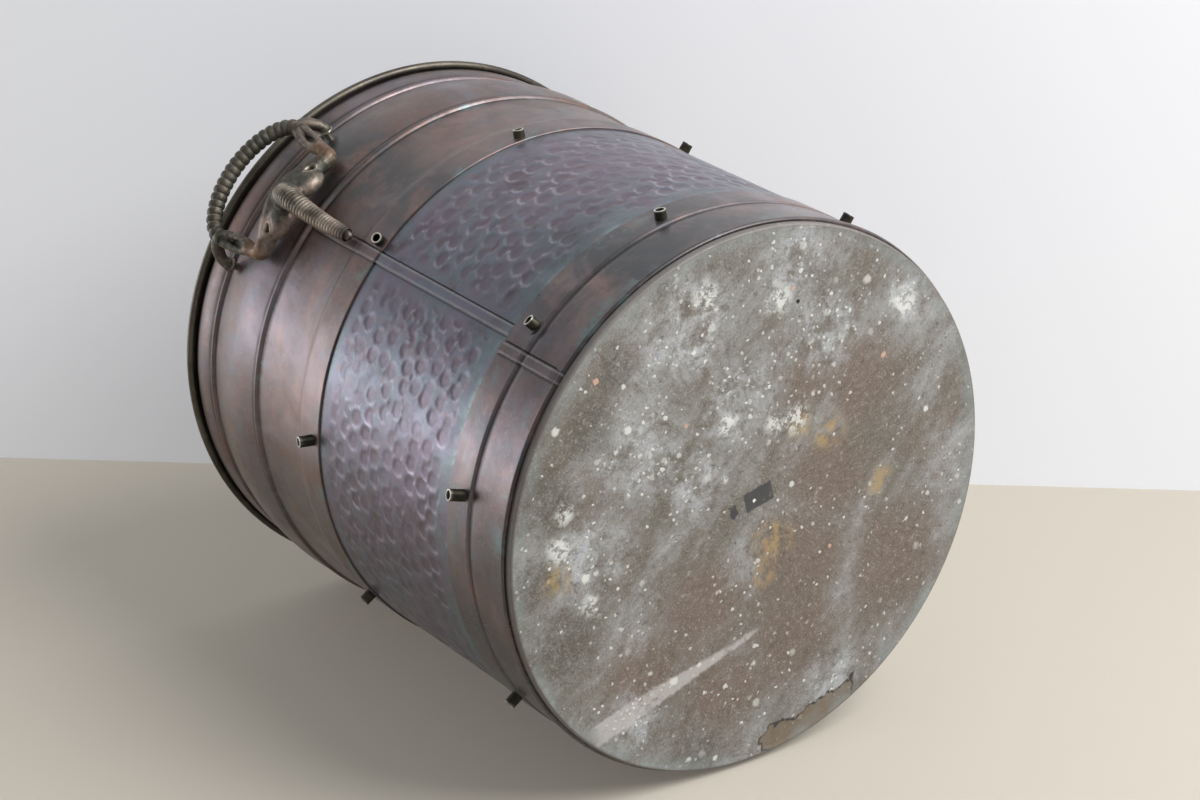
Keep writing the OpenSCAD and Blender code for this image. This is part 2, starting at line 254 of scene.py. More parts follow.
class Tree:
    """A node tree, built up one short call at a time."""

    def put(self, socket, value):
        if isinstance(value, bpy.types.NodeSocket):
            self.tree.links.new(value, socket)
        elif socket.type == "RGBA":
            socket.default_value = (*value, 1)
        else:
            socket.default_value = value

    def add(self, kind, *inputs, **settings):
        """Adds a node. Each input is a (name or index, value or socket) pair."""
        node = self.tree.nodes.new(kind)
        for name, value in settings.items():
            setattr(node, name, value)
        for name, value in inputs:
            self.put(node.inputs[name], value)
        return node

    def math(self, operation, *values):
        return self.add("ShaderNodeMath", *enumerate(values), operation=operation).outputs[0]

    def times(self, product, *others):
        """Several values multiplied together."""
        for other in others:
            product = self.math("MULTIPLY", product, other)
        return product

    def rise(self, value, low, high, to_low=0.0, to_high=1.0):
        """Smoothly from to_low to to_high while value goes from low to high."""
        numbers = enumerate((value, low, high, to_low, to_high))
        return self.add("ShaderNodeMapRange", *numbers, interpolation_type="SMOOTHSTEP").outputs[0]

    def split(self, vector):
        """The outputs for x, y and z of a vector."""
        return self.add("ShaderNodeSeparateXYZ", (0, vector)).outputs


class Finish(Tree):
    """A material's node tree. Its color starts as one mix and takes one wash of tone after another."""

    def __init__(self, name):
        self.material = bpy.data.materials.new(name)
        self.material.use_nodes = True
        self.tree = self.material.node_tree
        self.tree.nodes.clear()
        self.shader = self.add("ShaderNodeBsdfPrincipled")
        self.add("ShaderNodeOutputMaterial", ("Surface", self.shader.outputs[0]))
        self.place = self.add("ShaderNodeTexCoord").outputs["Object"]
        self.color = None

    def stretched(self, scale):
        """Object coordinates, stretched by a scale for each axis."""
        return self.add("ShaderNodeVectorMath", (0, self.place), (1, scale), operation="MULTIPLY").outputs[0]

    def wandering(self, amount, scale=260.0):
        """Object coordinates moved about by up to half the amount, so that edges come out ragged."""
        fine = self.add("ShaderNodeTexNoise", ("Vector", self.place), ("Scale", scale), ("Detail", 3))
        return self.add("ShaderNodeVectorMath", (0, fine.outputs["Color"]), (1, (amount, amount, amount)),
                        (2, self.place), operation="MULTIPLY_ADD").outputs[0]

    def turned(self, angle, scale=(1, 1, 1), wander=0.0):
        """Object coordinates turned about Z and stretched, and moved about by a fine noise."""
        return self.add("ShaderNodeMapping", ("Vector", self.wandering(wander) if wander else self.place),
                        ("Rotation", (0, 0, angle)), ("Scale", scale)).outputs[0]

    def noise(self, scale, detail=4.0, rough=0.55, at=None, twist=0.0):
        return self.add("ShaderNodeTexNoise", ("Vector", at or self.place), ("Scale", scale),
                        ("Detail", detail), ("Roughness", rough), ("Distortion", twist)).outputs["Fac"]

    def mix(self, amount, a, b):
        return self.add("ShaderNodeMix", ("Factor", amount), (6, a), (7, b), data_type="RGBA").outputs[2]

    def wash(self, tone, *masks):
        """Lays a tone over the color, as strongly as the product of the masks."""
        self.color = self.mix(self.times(*masks), self.color, tone)

    def axis(self, index):
        return self.split(self.place)[index]

    def attribute(self, name):
        return self.add("ShaderNodeAttribute", attribute_name=name).outputs["Fac"]

    def line(self, value, middle, width):
        """1 on a line where value is middle, fading to 0 at width from it."""
        away = self.math("ABSOLUTE", self.math("SUBTRACT", value, middle))
        return self.rise(away, 0.0, width, 1.0, 0.0)

    def side_stain_and_shade(self, middle, half):
        """A cloudy dark patch on the side at azimuth middle, which fades out half its spread away: partly a
        stain and partly painted shade on that side.
        """
        azimuth = self.math("ARCTAN2", self.axis(1), self.axis(0))
        cloudy = self.rise(self.noise(32, 6, 0.65, twist=0.5), 0.36, 0.56)
        self.wash(BLUE_STAIN_AND_SHADE, self.line(azimuth, middle, half), cloudy, 0.85)

    def seam_lines(self, middle, top=1.0):
        """Dark lines of painted shade along both sides of a lock seam up to a height, with a pale line
        inside each that is both wear and a painted highlight.
        """
        azimuth = self.math("ARCTAN2", self.axis(1), self.axis(0))
        side = self.math("ABSOLUTE", self.times(self.math("SUBTRACT", azimuth, middle), wall_r(SPREAD_Z)))
        below = self.rise(self.axis(2), top, top - 2 * MM)
        worn_sheen = self.line(side, SEAM_W / 2 - 0.8 * MM, 0.9 * MM)
        # A pale line of wear and painted highlight on each edge of the strip
        self.wash(WORN_SHEEN_EDGE, worn_sheen, self.noise(120, 4, 0.7), below)
        # Painted shade in a dark line beside each edge of the strip
        self.wash(SOOT_AND_SHADE, self.line(side, SEAM_W / 2 + 0.4 * MM, 0.9 * MM), below, 0.85)

    def away_from(self, spot, at=None):
        """Distance from a spot."""
        return self.add("ShaderNodeVectorMath", (0, at or self.place), (1, spot),
                        operation="DISTANCE").outputs["Value"]

    def spot(self, x, y, size, ragged=0.35):
        """1 inside a ragged round patch on the base. Its place and radius are in millimetres."""
        x, y, size = x * MM, y * MM, size * MM
        edge = self.math("MULTIPLY_ADD", self.noise(1.6 / size), size * ragged * 4, -size * ragged * 2)
        away = self.math("ADD", self.away_from((x, y, 0)), edge)
        return self.rise(away, size * 0.75, size * 1.05, 1.0, 0.0)

    def zones(self, places, ragged=0.5):
        """The strongest of some soft patches on the base, each given as x, y and size in millimetres."""
        total = None
        at = self.wandering(26 * MM * ragged, 22.0)
        for x, y, size in places:
            shift = 13 * ragged
            away = self.away_from(((x + shift) * MM, (y + shift) * MM, shift * MM), at)
            patch = self.rise(away, size * 0.35 * MM, size * 1.25 * MM, 1.0, 0.0)
            total = patch if total is None else self.math("MAXIMUM", total, patch)
        return total

    def finish(self, rough, metal, bump, depth, strength):
        """Joins up the shader. The bump's depth is a length, and its strength goes from 0 to 1."""
        self.put(self.shader.inputs["Base Color"], self.color)
        self.put(self.shader.inputs["Roughness"], rough)
        self.put(self.shader.inputs["Metallic"], metal)
        relief = self.add("ShaderNodeBump", ("Strength", strength), ("Distance", depth), ("Height", bump))
        self.put(self.shader.inputs["Normal"], relief.outputs[0])
        return self.material


class Growth(Tree):
    """A Geometry Nodes tree with named inputs, which makes one kind of repeated detail."""

    def __init__(self, name, **inputs):
        self.tree = bpy.data.node_groups.new(name, "GeometryNodeTree")
        shape = self.tree.interface
        shape.new_socket("Geometry", in_out="INPUT", socket_type="NodeSocketGeometry")
        self.keys = {}
        for label, value in inputs.items():
            kind = {float: "NodeSocketFloat", int: "NodeSocketInt"}.get(type(value), "NodeSocketObject")
            if isinstance(value, bpy.types.Material):
                kind = "NodeSocketMaterial"
            socket = shape.new_socket(label, in_out="INPUT", socket_type=kind)
            self.keys[label] = socket.identifier
        shape.new_socket("Geometry", in_out="OUTPUT", socket_type="NodeSocketGeometry")
        self.values = inputs
        self.start = self.tree.nodes.new("NodeGroupInput")
        self.end = self.tree.nodes.new("NodeGroupOutput")

    def value(self, label):
        return self.start.outputs[label]

    def named(self, name, kind="FLOAT"):
        """A stored number or vector of each vertex."""
        return self.add("GeometryNodeInputNamedAttribute", ("Name", name), data_type=kind).outputs[0]

    def keep(self, geometry, name, value):
        """Stores one number a vertex, for the finish to read."""
        return self.add("GeometryNodeStoreNamedAttribute", (0, geometry), ("Name", name), ("Value", value),
                        data_type="FLOAT", domain="POINT").outputs[0]

    def close(self, geometry):
        """Ends the tree with one real mesh in the material of the input Finish."""
        real = self.add("GeometryNodeRealizeInstances", (0, geometry))
        painted = self.add("GeometryNodeSetMaterial", (0, real.outputs[0]),
                           ("Material", self.value("Finish")))
        self.put(self.end.inputs[0], painted.outputs[0])

    def run(self, name, mesh, crease=35):
        """The plain mesh that the tree makes from mesh."""
        seed = placed(name, mesh)
        modifier = seed.modifiers.new(name, "NODES")
        modifier.node_group = self.tree
        for label, key in self.keys.items():
            modifier[key] = self.values[label]
        return shaded(baked(seed), crease)


# ---- Finishes

SLATE = (0.125, 0.135, 0.155)
LILAC = (0.25, 0.225, 0.265)
ROSE = (0.31, 0.195, 0.16)
SOOT_AND_SHADE = (0.03, 0.026, 0.026)
SEPIA = (0.07, 0.046, 0.045)
PLUM = (0.145, 0.12, 0.165)
INDIGO = (0.12, 0.138, 0.17)
HOLLOW_PLUM = (0.108, 0.07, 0.096)
RUBBED_SHEEN_LILAC = (0.36, 0.33, 0.39)
WORN_SHEEN_EDGE = (0.34, 0.31, 0.32)
BLUE_STAIN_AND_SHADE = (0.052, 0.06, 0.064)
VERDIGRIS = (0.13, 0.2, 0.195)
PALE_VERDIGRIS = (0.24, 0.33, 0.3)
FOOT_WARM = (0.12, 0.086, 0.088)
FOOT_COOL = (0.1, 0.1, 0.105)
UPPER_WARM = (0.155, 0.098, 0.078)
UPPER_COOL = (0.12, 0.094, 0.1)
TEAL = (0.085, 0.12, 0.125)
RUSSET = (0.19, 0.1, 0.08)


def patina(f, warm, cool):
    """Cloudy tarnish between a warm and a cool tone, with fine mottling over it."""
    f.color = f.mix(f.rise(f.noise(15, 7, 0.62, twist=0.6), 0.38, 0.62), warm, cool)
    blotches = f.noise(55, 6, 0.65, twist=0.3)
    f.wash(SLATE, f.rise(blotches, 0.5, 0.72, 0, 0.7))
    f.wash(SEPIA, f.rise(blotches, 0.46, 0.3, 0, 0.7))
    hues = f.noise(130, 5, 0.7, twist=0.3)
    f.wash(TEAL, f.rise(hues, 0.53, 0.68, 0, 0.5))
    f.wash(RUSSET, f.rise(hues, 0.47, 0.32, 0, 0.5))
    f.wash(LILAC, f.rise(f.noise(480, 3, 0.75), 0.5, 0.8, 0, 0.4))


def coated(f, weight, rough=0.32):
    """A thin clear skin of old wax, which makes the metal bright at a glancing look."""
    f.shader.inputs["Coat Weight"].default_value = weight
    f.shader.inputs["Coat Roughness"].default_value = rough


def hammered_copper():
    f = Finish("hammered_copper")
    z = f.axis(2)
    patina(f, PLUM, INDIGO)
    f.wash(HOLLOW_PLUM, f.attribute("hollow"), f.rise(f.noise(30, 4, 0.6), 0.3, 0.6, 0.4, 0.85))
    # Painted highlight: pale crescents on one side of each hammer mark, which also stand for wear on its rim
    f.wash(RUBBED_SHEEN_LILAC, f.attribute("worn_sheen"), f.rise(f.noise(38, 5, 0.65), 0.4, 0.62, 0.1, 0.9))
    low_edge = f.rise(z, FOOT_TOP_Z, FOOT_TOP_Z + 24 * MM, 1, 0)
    high_edge = f.rise(z, LAP_LINE_Z - 9 * MM, LAP_LINE_Z, 0, 0.7)
    f.wash(VERDIGRIS, f.math("ADD", low_edge, high_edge), f.rise(f.noise(42, 7, 0.7), 0.4, 0.62), 0.65)
    crust = f.line(z, FOOT_TOP_Z + 1.5 * MM, 3.5 * MM)
    f.wash(PALE_VERDIGRIS, crust, f.rise(f.noise(70, 6, 0.7), 0.5, 0.6), 0.6)
    # Painted shade along the top of the foot band and the edge of the upper band's lap
    f.wash(SOOT_AND_SHADE, f.line(z, FOOT_TOP_Z, 0.7 * MM))
    f.wash(SOOT_AND_SHADE, f.line(z, LAP_LINE_Z, 0.5 * MM))
    clean = f.color
    # A dark patch of stain and painted shade on one side, kept to the lower part of the band
    f.side_stain_and_shade(math.radians(106), math.radians(26))
    f.color = f.mix(f.rise(z, FOOT_TOP_Z + 50 * MM, FOOT_TOP_Z + 10 * MM, 0, 0.8), clean, f.color)
    f.seam_lines(MAIN_SEAM)
    rough = f.rise(f.noise(90, 4), 0.3, 0.7, 0.31, 0.5)
    pits = f.math("ADD", f.times(f.noise(700, 4, 0.6), 0.3), f.noise(160, 4, 0.6))
    coated(f, 0.38)
    return f.finish(rough, 0.8, pits, 0.3 * MM, 0.5)


def plain_copper(name, warm, cool, shade_lines, green_lines, shine, seam, seam_top, stains_and_shade=()):
    """Plain tarnished sheet with painted shade in lines beside its folds and verdigris in its corners."""
    f = Finish(name)
    z = f.axis(2)
    patina(f, warm, cool)
    streaks = f.rise(f.noise(26, 5, 0.65, at=f.stretched((1, 1, 3))), 0.4, 0.6, 0.3, 1)
    f.wash(ROSE, f.rise(f.noise(9, 6, 0.6, twist=0.8), 0.46, 0.62), streaks, 0.5)
    f.wash(LILAC, f.rise(f.noise(7, 6, 0.62, twist=0.7), 0.5, 0.72), 0.35)
    drips = f.noise(34, 4, 0.6, at=f.stretched((1, 1, 0.25)))
    f.wash(LILAC, f.rise(drips, 0.56, 0.72), 0.4)
    # Dark patches of stain and painted shade on the sides given
    for middle, half in stains_and_shade:
        f.side_stain_and_shade(math.radians(middle), math.radians(half))
    # Painted shade in lines beside the folds, grooves and edges
    for middle, width in shade_lines:
        f.wash(SOOT_AND_SHADE, f.line(z, middle, width), f.rise(f.noise(45, 4), 0.25, 0.55, 0.25, 0.8))
    for middle, width in green_lines:
        f.wash(VERDIGRIS, f.line(z, middle, width), f.rise(f.noise(48, 7, 0.7), 0.53, 0.63), 0.7)
    f.seam_lines(seam, seam_top)
    scratches = f.noise(40, 5, 0.7, at=f.stretched((1, 1, 22)))
    rough = f.rise(f.noise(50, 5, 0.6), 0.3, 0.7, shine, shine + 0.16)
    relief = f.math("ADD", f.times(scratches, 0.3), f.noise(240, 5, 0.65))
    coated(f, 0.32, 0.38)
    return f.finish(rough, 0.8, relief, 0.25 * MM, 0.4)


BASE_GREY = (0.255, 0.254, 0.244)
BASE_OLIVE = (0.142, 0.13, 0.108)
BASE_BROWN = (0.15, 0.11, 0.087)
BASE_DARK = (0.07, 0.064, 0.052)
PALE_HAZE = (0.42, 0.437, 0.458)
OCHRE = (0.36, 0.25, 0.11)
MINERAL = (0.68, 0.69, 0.65)
GRAPHITE = (0.045, 0.046, 0.048)
GRIME_PALE = (0.36, 0.35, 0.33)
GRIME_DARK = (0.085, 0.066, 0.052)
GRIT_PALE = (0.4, 0.39, 0.37)
GRIT_DARK = (0.075, 0.062, 0.052)
SCRAPED = (0.46, 0.44, 0.43)
BARE_METAL = (0.16, 0.12, 0.08)
RUST_PINK = (0.5, 0.32, 0.24)
PIN_HOLE_SHADE = (0.01, 0.01, 0.01)
EDGE_GREEN = (0.24, 0.28, 0.28)
EDGE_BROWN = (0.14, 0.12, 0.11)
SCRAPE_TURN = math.radians(27)

# Where the stains of the base lie: x, y and size in millimetres
HAZY = ((-43, 96, 30), (15, 78, 26), (67, 67, 26), (-33, 47, 26), (-98, 66, 24), (-122, -3, 16),
        (46, -112, 20), (116, -14, 20), (-85, 28, 24), (10, 40, 20))
BROWN = ((-35, -27, 32), (8, -46, 36), (-24, -98, 36), (54, -8, 30), (-80, -12, 28), (80, -52, 26),
         (-60, 20, 16), (36, -68, 36), (98, 0, 26))
DARK = ((60, 112, 20), (20, 112, 15), (106, 52, 22), (-8, 118, 12), (92, 88, 16), (112, -60, 16))
YELLOWED = ((-50, -12, 11), (-42, 6, 8), (8, -22, 13), (-48, -58, 9), (24, -30, 8), (84, 78, 10))
CAKED = ((-43, 11, 9), (-120, -3, 9), (72, 86, 8), (-34, 20, 6), (0, 27, 3), (-20, 44, 6), (-58, 100, 9),
         (-80, 62, 8), (58, 96, 6), (84, 52, 6))
# Lime dots of three sizes: how fine, the dot's full and outer radius as a share of its cell, and how many
DOT_SIZES = ((62, 0.09, 0.19, 0.04), (125, 0.12, 0.23, 0.05), (290, 0.17, 0.3, 0.08))
# The dark remnant: how far it is turned, and its middle and half length along and across
REMNANT_TURN = math.radians(-32)
REMNANT = ((-1, 8.2), (4, 5))
# Small marks, each as x, y and radius in millimetres and how ragged it is
SPOTS = ((GRAPHITE, ((9.5, 10, 3.4, 0.5),)),
         (MINERAL, ((-1, 3, 1.1, 0.4),)),
         (RUST_PINK, ((-89, 59, 1.3), (2, 124, 1.7), (-8, 65, 1.2), (-95, -13, 1.6), (-7, -56, 1.2))),
         # The pin hole is a black spot of painted shade
         (PIN_HOLE_SHADE, ((-86, 52, 1.2, 0.1),)))


def mineral_dots(f, density):
    """Splashed lime scale: ragged dots in three sizes, thicker where density is higher."""
    at = f.wandering(2.6 * MM, 420.0)
    white = None
    for scale, low, high, share in DOT_SIZES:
        cells = f.add("ShaderNodeTexVoronoi", ("Vector", at), ("Scale", scale), ("Randomness", 1.0))
        dots = f.rise(cells.outputs["Distance"], low, high, 1, 0)
        luck = f.add("ShaderNodeSeparateColor", (0, cells.outputs["Color"]))
        chosen = f.rise(f.math("ADD", luck.outputs[0], density), 1.0 - share, 1.08 - share)
        size = f.rise(luck.outputs[1], 0.0, 1.0, 0.35, 1.0)
        dots = f.times(dots, chosen, size)
        white = dots if white is None else f.math("MAXIMUM", white, dots)
    return white


def long_scrape(f):
    """A pale ragged scrape from the edge of the base towards its middle."""
    along, across, _ = f.split(f.turned(-SCRAPE_TURN, wander=4 * MM))
    middle = f.rise(along, 10 * MM, 120 * MM, 63 * MM, 58.5 * MM)
    across = f.math("ABSOLUTE", f.math("ADD", across, middle))
    width = f.rise(along, 14 * MM, 116 * MM, 1.6 * MM, 6.6 * MM)
    shape = f.rise(f.math("SUBTRACT", across, width), -1.6 * MM, 0.4 * MM, 1, 0)
    ends = f.times(f.rise(along, 18 * MM, 30 * MM), f.rise(along, 118 * MM, 126 * MM, 1, 0))
    broken = f.rise(f.noise(70, 6, 0.75), 0.3, 0.5)
    return f.times(shape, ends, broken)


def stained_base():
    f = Finish("base_copper")
    x, y = f.axis(0), f.axis(1)
    brushed = f.noise(26, 7, 0.68, at=f.turned(-SCRAPE_TURN, (0.62, 1.35, 1)), twist=0.5)
    mottle = f.noise(75, 8, 0.75, twist=0.4)
    grime = f.noise(230, 6, 0.78)
    f.color = f.mix(f.rise(brushed, 0.38, 0.62), BASE_OLIVE, BASE_GREY)
    f.wash(BASE_BROWN, f.zones(BROWN), f.rise(brushed, 0.25, 0.55, 0.6, 1), 0.9)
    f.wash(BASE_BROWN, f.rise(f.noise(36, 6, 0.7, twist=0.4), 0.5, 0.64, 0, 0.55))
    haze = f.zones(HAZY)
    f.wash(PALE_HAZE, haze, f.rise(mottle, 0.42, 0.62, 0, 0.85))
    f.wash(PALE_HAZE, f.rise(brushed, 0.55, 0.7), f.rise(mottle, 0.42, 0.62, 0.05, 0.6))
    dark = f.math("MAXIMUM", f.times(f.zones(DARK), 0.75), f.rise(mottle, 0.46, 0.3, 0, 0.75))
    f.wash(BASE_DARK, dark, f.rise(grime, 0.3, 0.6, 1, 0.5))
    f.wash(GRIME_PALE, f.rise(grime, 0.54, 0.7, 0, 0.65))
    f.wash(GRIME_DARK, f.rise(grime, 0.48, 0.3, 0, 0.8))
    grit = f.noise(900, 3, 0.75)
    f.wash(GRIT_PALE, f.rise(grit, 0.52, 0.72, 0, 0.5))
    f.wash(GRIT_DARK, f.rise(grit, 0.46, 0.3, 0, 0.6))
    f.wash(OCHRE, f.zones(YELLOWED, 0.3), f.rise(f.noise(110, 5, 0.7), 0.42, 0.62), 0.75)
    density = f.math("MULTIPLY_ADD", haze, 0.54, f.rise(f.noise(17, 5, 0.6), 0.4, 0.68, 0.06, 0.42))
    caked = f.times(f.zones(CAKED, 0.35), f.rise(f.noise(190, 6, 0.75), 0.44, 0.55))
    white = f.math("MAXIMUM", mineral_dots(f, density), caked)
    scrape = long_scrape(f)
    f.wash(SCRAPED, scrape, 0.75)
    f.wash(MINERAL, white, 0.78)
    # The flaked patch at the edge, the dark remnant in the middle, a few rust specks and a pin hole painted
    # as a black spot of shade
    flaked = f.attribute("flaked")
    f.wash(BARE_METAL, flaked, 0.8)
    f.wash(SOOT_AND_SHADE, f.rise(flaked, 0.05, 0.4), f.rise(flaked, 0.95, 0.6), 0.9)
    part = f.split(f.turned(REMNANT_TURN, wander=1.6 * MM))
    sides = []
    for value, (middle, half) in zip(part, REMNANT):
        away = f.math("ABSOLUTE", f.math("SUBTRACT", value, middle * MM))
        sides.append(f.rise(away, (half - 0.4) * MM, (half + 0.4) * MM, 1, 0))
    f.wash(GRAPHITE, *sides, f.rise(f.noise(160, 4, 0.7), 0.3, 0.42), 0.92)
    for tone, marks in SPOTS:
        for mark in marks:
            f.wash(tone, f.spot(*mark))
    rim = f.math("SQRT", f.math("ADD", f.times(x, x), f.times(y, y)))
    f.wash(EDGE_GREEN, f.rise(rim, 127 * MM, 136 * MM), f.rise(f.noise(45, 4), 0.35, 0.6), 0.45)
    f.wash(EDGE_BROWN, f.rise(rim, 136 * MM, 137 * MM, 0, 0.75))
    relief = f.math("ADD", f.times(white, 0.9), f.times(grime, 0.6))
    relief = f.math("ADD", relief, f.times(mottle, 0.7))
    relief = f.math("SUBTRACT", relief, f.times(scrape, 0.4))
    rough = f.rise(mottle, 0.3, 0.7, 0.5, 0.72)
    return f.finish(rough, 0.2, relief, 0.4 * MM, 0.7)


BRASS_BLACK = (0.05, 0.042, 0.032)
BRASS_OLIVE = (0.105, 0.092, 0.07)
BRASS_DULL = (0.2, 0.18, 0.14)
CAST_BROWN = (0.07, 0.056, 0.042)
CAST_GREEN = (0.062, 0.064, 0.05)
CAST_WORN = (0.3, 0.225, 0.19)
CAST_SPECK = (0.22, 0.2, 0.17)
CAST_DUST = (0.2, 0.195, 0.165)
CAST_RUST = (0.2, 0.105, 0.055)
CAST_HOLLOW_SHADE = (0.022, 0.018, 0.015)
CAST_CREST = (0.42, 0.37, 0.29)
CAST_TIP = (0.05, 0.042, 0.034)
TUBE_BLACK = (0.022, 0.021, 0.015)
TUBE_OLIVE = (0.06, 0.056, 0.04)
TUBE_LIP = (0.6, 0.57, 0.5)
TUBE_BORE_SHADE = (0.012, 0.011, 0.01)


def hoop_brass():
    f = Finish("hoop_brass")
    f.color = f.mix(f.rise(f.noise(25, 6, 0.65), 0.35, 0.65), BRASS_BLACK, BRASS_OLIVE)
    f.wash(BRASS_DULL, f.rise(f.noise(150, 5, 0.7), 0.52, 0.75, 0, 0.5))
    rough = f.rise(f.noise(60, 4), 0.3, 0.7, 0.36, 0.55)
    coated(f, 0.25)
    return f.finish(rough, 0.8, f.noise(260, 5, 0.65), 0.3 * MM, 0.5)


def cast_brass():
    f = Finish("cast_brass")
    z = f.axis(2)
    f.color = f.mix(f.rise(f.noise(60, 7, 0.7), 0.38, 0.62), CAST_BROWN, CAST_GREEN)
    head = f.rise(z, GRIP_Z[0] * MM, (GRIP_Z[0] - 26) * MM)
    f.wash(CAST_WORN, f.rise(f.noise(38, 5, 0.65), 0.42, 0.6), f.math("MULTIPLY_ADD", head, 0.75, 0.15))
    f.wash(CAST_SPECK, f.rise(f.noise(420, 4, 0.75), 0.5, 0.75, 0, 0.45))
    f.wash(CAST_DUST, f.attribute("groove"), 0.8)
    f.wash(CAST_RUST, f.attribute("rusty"), f.rise(f.noise(200, 5, 0.7), 0.35, 0.6, 0.25, 0.85))
    # Painted shade in the eye holes, the ear hollows and the concave places
    f.wash(CAST_HOLLOW_SHADE, f.attribute("hollow_shade"), 0.9)
    crest = f.times(f.attribute("crest"), f.rise(f.noise(120, 5, 0.65), 0.35, 0.6, 0.1, 1))
    f.wash(CAST_CREST, crest, 0.7)
    f.wash(CAST_TIP, f.rise(z, 202 * MM, 194 * MM, 0, 0.8))
    rough = f.math("SUBTRACT", f.rise(f.noise(110, 5, 0.65), 0.3, 0.7, 0.42, 0.62), f.times(crest, 0.14))
    relief = f.math("ADD", f.noise(330, 6, 0.7), f.times(f.noise(900, 3, 0.6), 0.4))
    return f.finish(rough, 0.75, relief, 0.5 * MM, 0.7)


def tube_brass():
    f = Finish("tube_brass")
    f.color = f.mix(f.rise(f.noise(130, 4), 0.35, 0.65), TUBE_BLACK, TUBE_OLIVE)
    f.wash(TUBE_LIP, f.attribute("bright"))
    # Painted shade inside the bore
    f.wash(TUBE_BORE_SHADE, f.attribute("bore_shade"))
    rough = f.rise(f.noise(300, 3), 0.3, 0.7, 0.35, 0.55)
    return f.finish(rough, 0.75, f.noise(500, 4), 0.25 * MM, 0.6)


# ---- Base plate

PLATE_EDGE_R = 1.2 * MM
PLATE_RIM_Z = LIP_Z + 14 * MM
FLAKE_TURN = Vector((0.52, -0.85))
FLAKE_FROM = 123 * MM
FLAKE_HALF = 29 * MM
FLAKE_SINK = 0.35 * MM
CRUST_WAVES = 0.35 * MM
CRUST_GRAIN = 0.12 * MM


def flaked_away(x, y):
    """1 where the crust has flaked off at the edge of the base, else 0."""
    level = np.zeros_like(x)
    ragged = grain(x, y, level, 95, 3) * 4 * MM + grain(x, y, level, 260, 4) * 2 * MM
    outwards = x * FLAKE_TURN.x + y * FLAKE_TURN.y - FLAKE_FROM + ragged
    ends = (FLAKE_HALF - np.abs(x * FLAKE_TURN.y - y * FLAKE_TURN.x)) * 0.5 + ragged
    return smoothstep(np.minimum(outwards, ends), -0.7 * MM, 0.7 * MM)


def make_base_plate():
    flat_r = FOOT_IN_R - PLATE_EDGE_R
    rings = np.linspace(0, flat_r, 96)[1:]
    under = [(r, 0.0) for r in rings]
    corner = [(flat_r + PLATE_EDGE_R * math.sin(a), PLATE_EDGE_R * (1 - math.cos(a)))
              for a in np.radians((18, 36, 54, 72, 90))]
    side = [(foot_inside(LIP_Z), LIP_Z), (foot_inside(PLATE_RIM_Z), PLATE_RIM_Z)]
    inner = [(foot_inside(PLATE_RIM_Z) - SHEET, PLATE_RIM_Z), (FOOT_IN_R - SHEET, LIP_Z),
             (FOOT_IN_R - SHEET, 2 * SHEET), (FOOT_IN_R - 2 * SHEET, SHEET)]
    top = [(r, SHEET) for r in np.linspace(FOOT_IN_R - 2 * SHEET, 0, 30)[1:-1]]
    path = np.array(under + corner + side + inner + top)
    turns = directions(TAU / 400)
    azimuth, radius, height = (values.ravel() for values in swept(path, turns))
    x, y = radius * np.cos(azimuth), radius * np.sin(azimuth)
    flaked = flaked_away(x, y) * (height < PLATE_EDGE_R * 1.01)
    uneven = CRUST_WAVES * (1 + grain(x, y, height, 22, 1)) / 2
    uneven = uneven + CRUST_GRAIN * (1 + grain(x, y, height, 130, 2)) / 2
    is_flat = (height < SHEET * 1.01) * (np.hypot(x, y) < flat_r * 0.995)
    height = height + (uneven + FLAKE_SINK * flaked) * is_flat
    points = list(np.stack([x, y, height], axis=1)) + [(0, 0, 0.15 * MM), (0, 0, SHEET)]
    rows, cols = len(path), len(turns)
    faces = grid_faces(rows, cols, False)
    low_pole, high_pole, last = rows * cols, rows * cols + 1, (rows - 1) * cols
    for i in range(cols):
        j = (i + 1) % cols
        faces.append((low_pole, j, i))
        faces.append((high_pole, last + i, last + j))
    mesh = mesh_from("base_plate_skin", points, faces, 50)
    store(mesh, "flaked", np.append(flaked, (0, 0)))
    return piece("base_plate_skin", mesh, stained_base(), "base_copper", "base_plate")


# ---- Foot band: hem, plain stretch, groove and the strip that laps over the hammered sheet

HEM_H = 3 * MM
HEM_RISE = 0.9 * MM
GROOVE_W = 1.6 * MM
GROOVE_SINK = 0.7 * MM


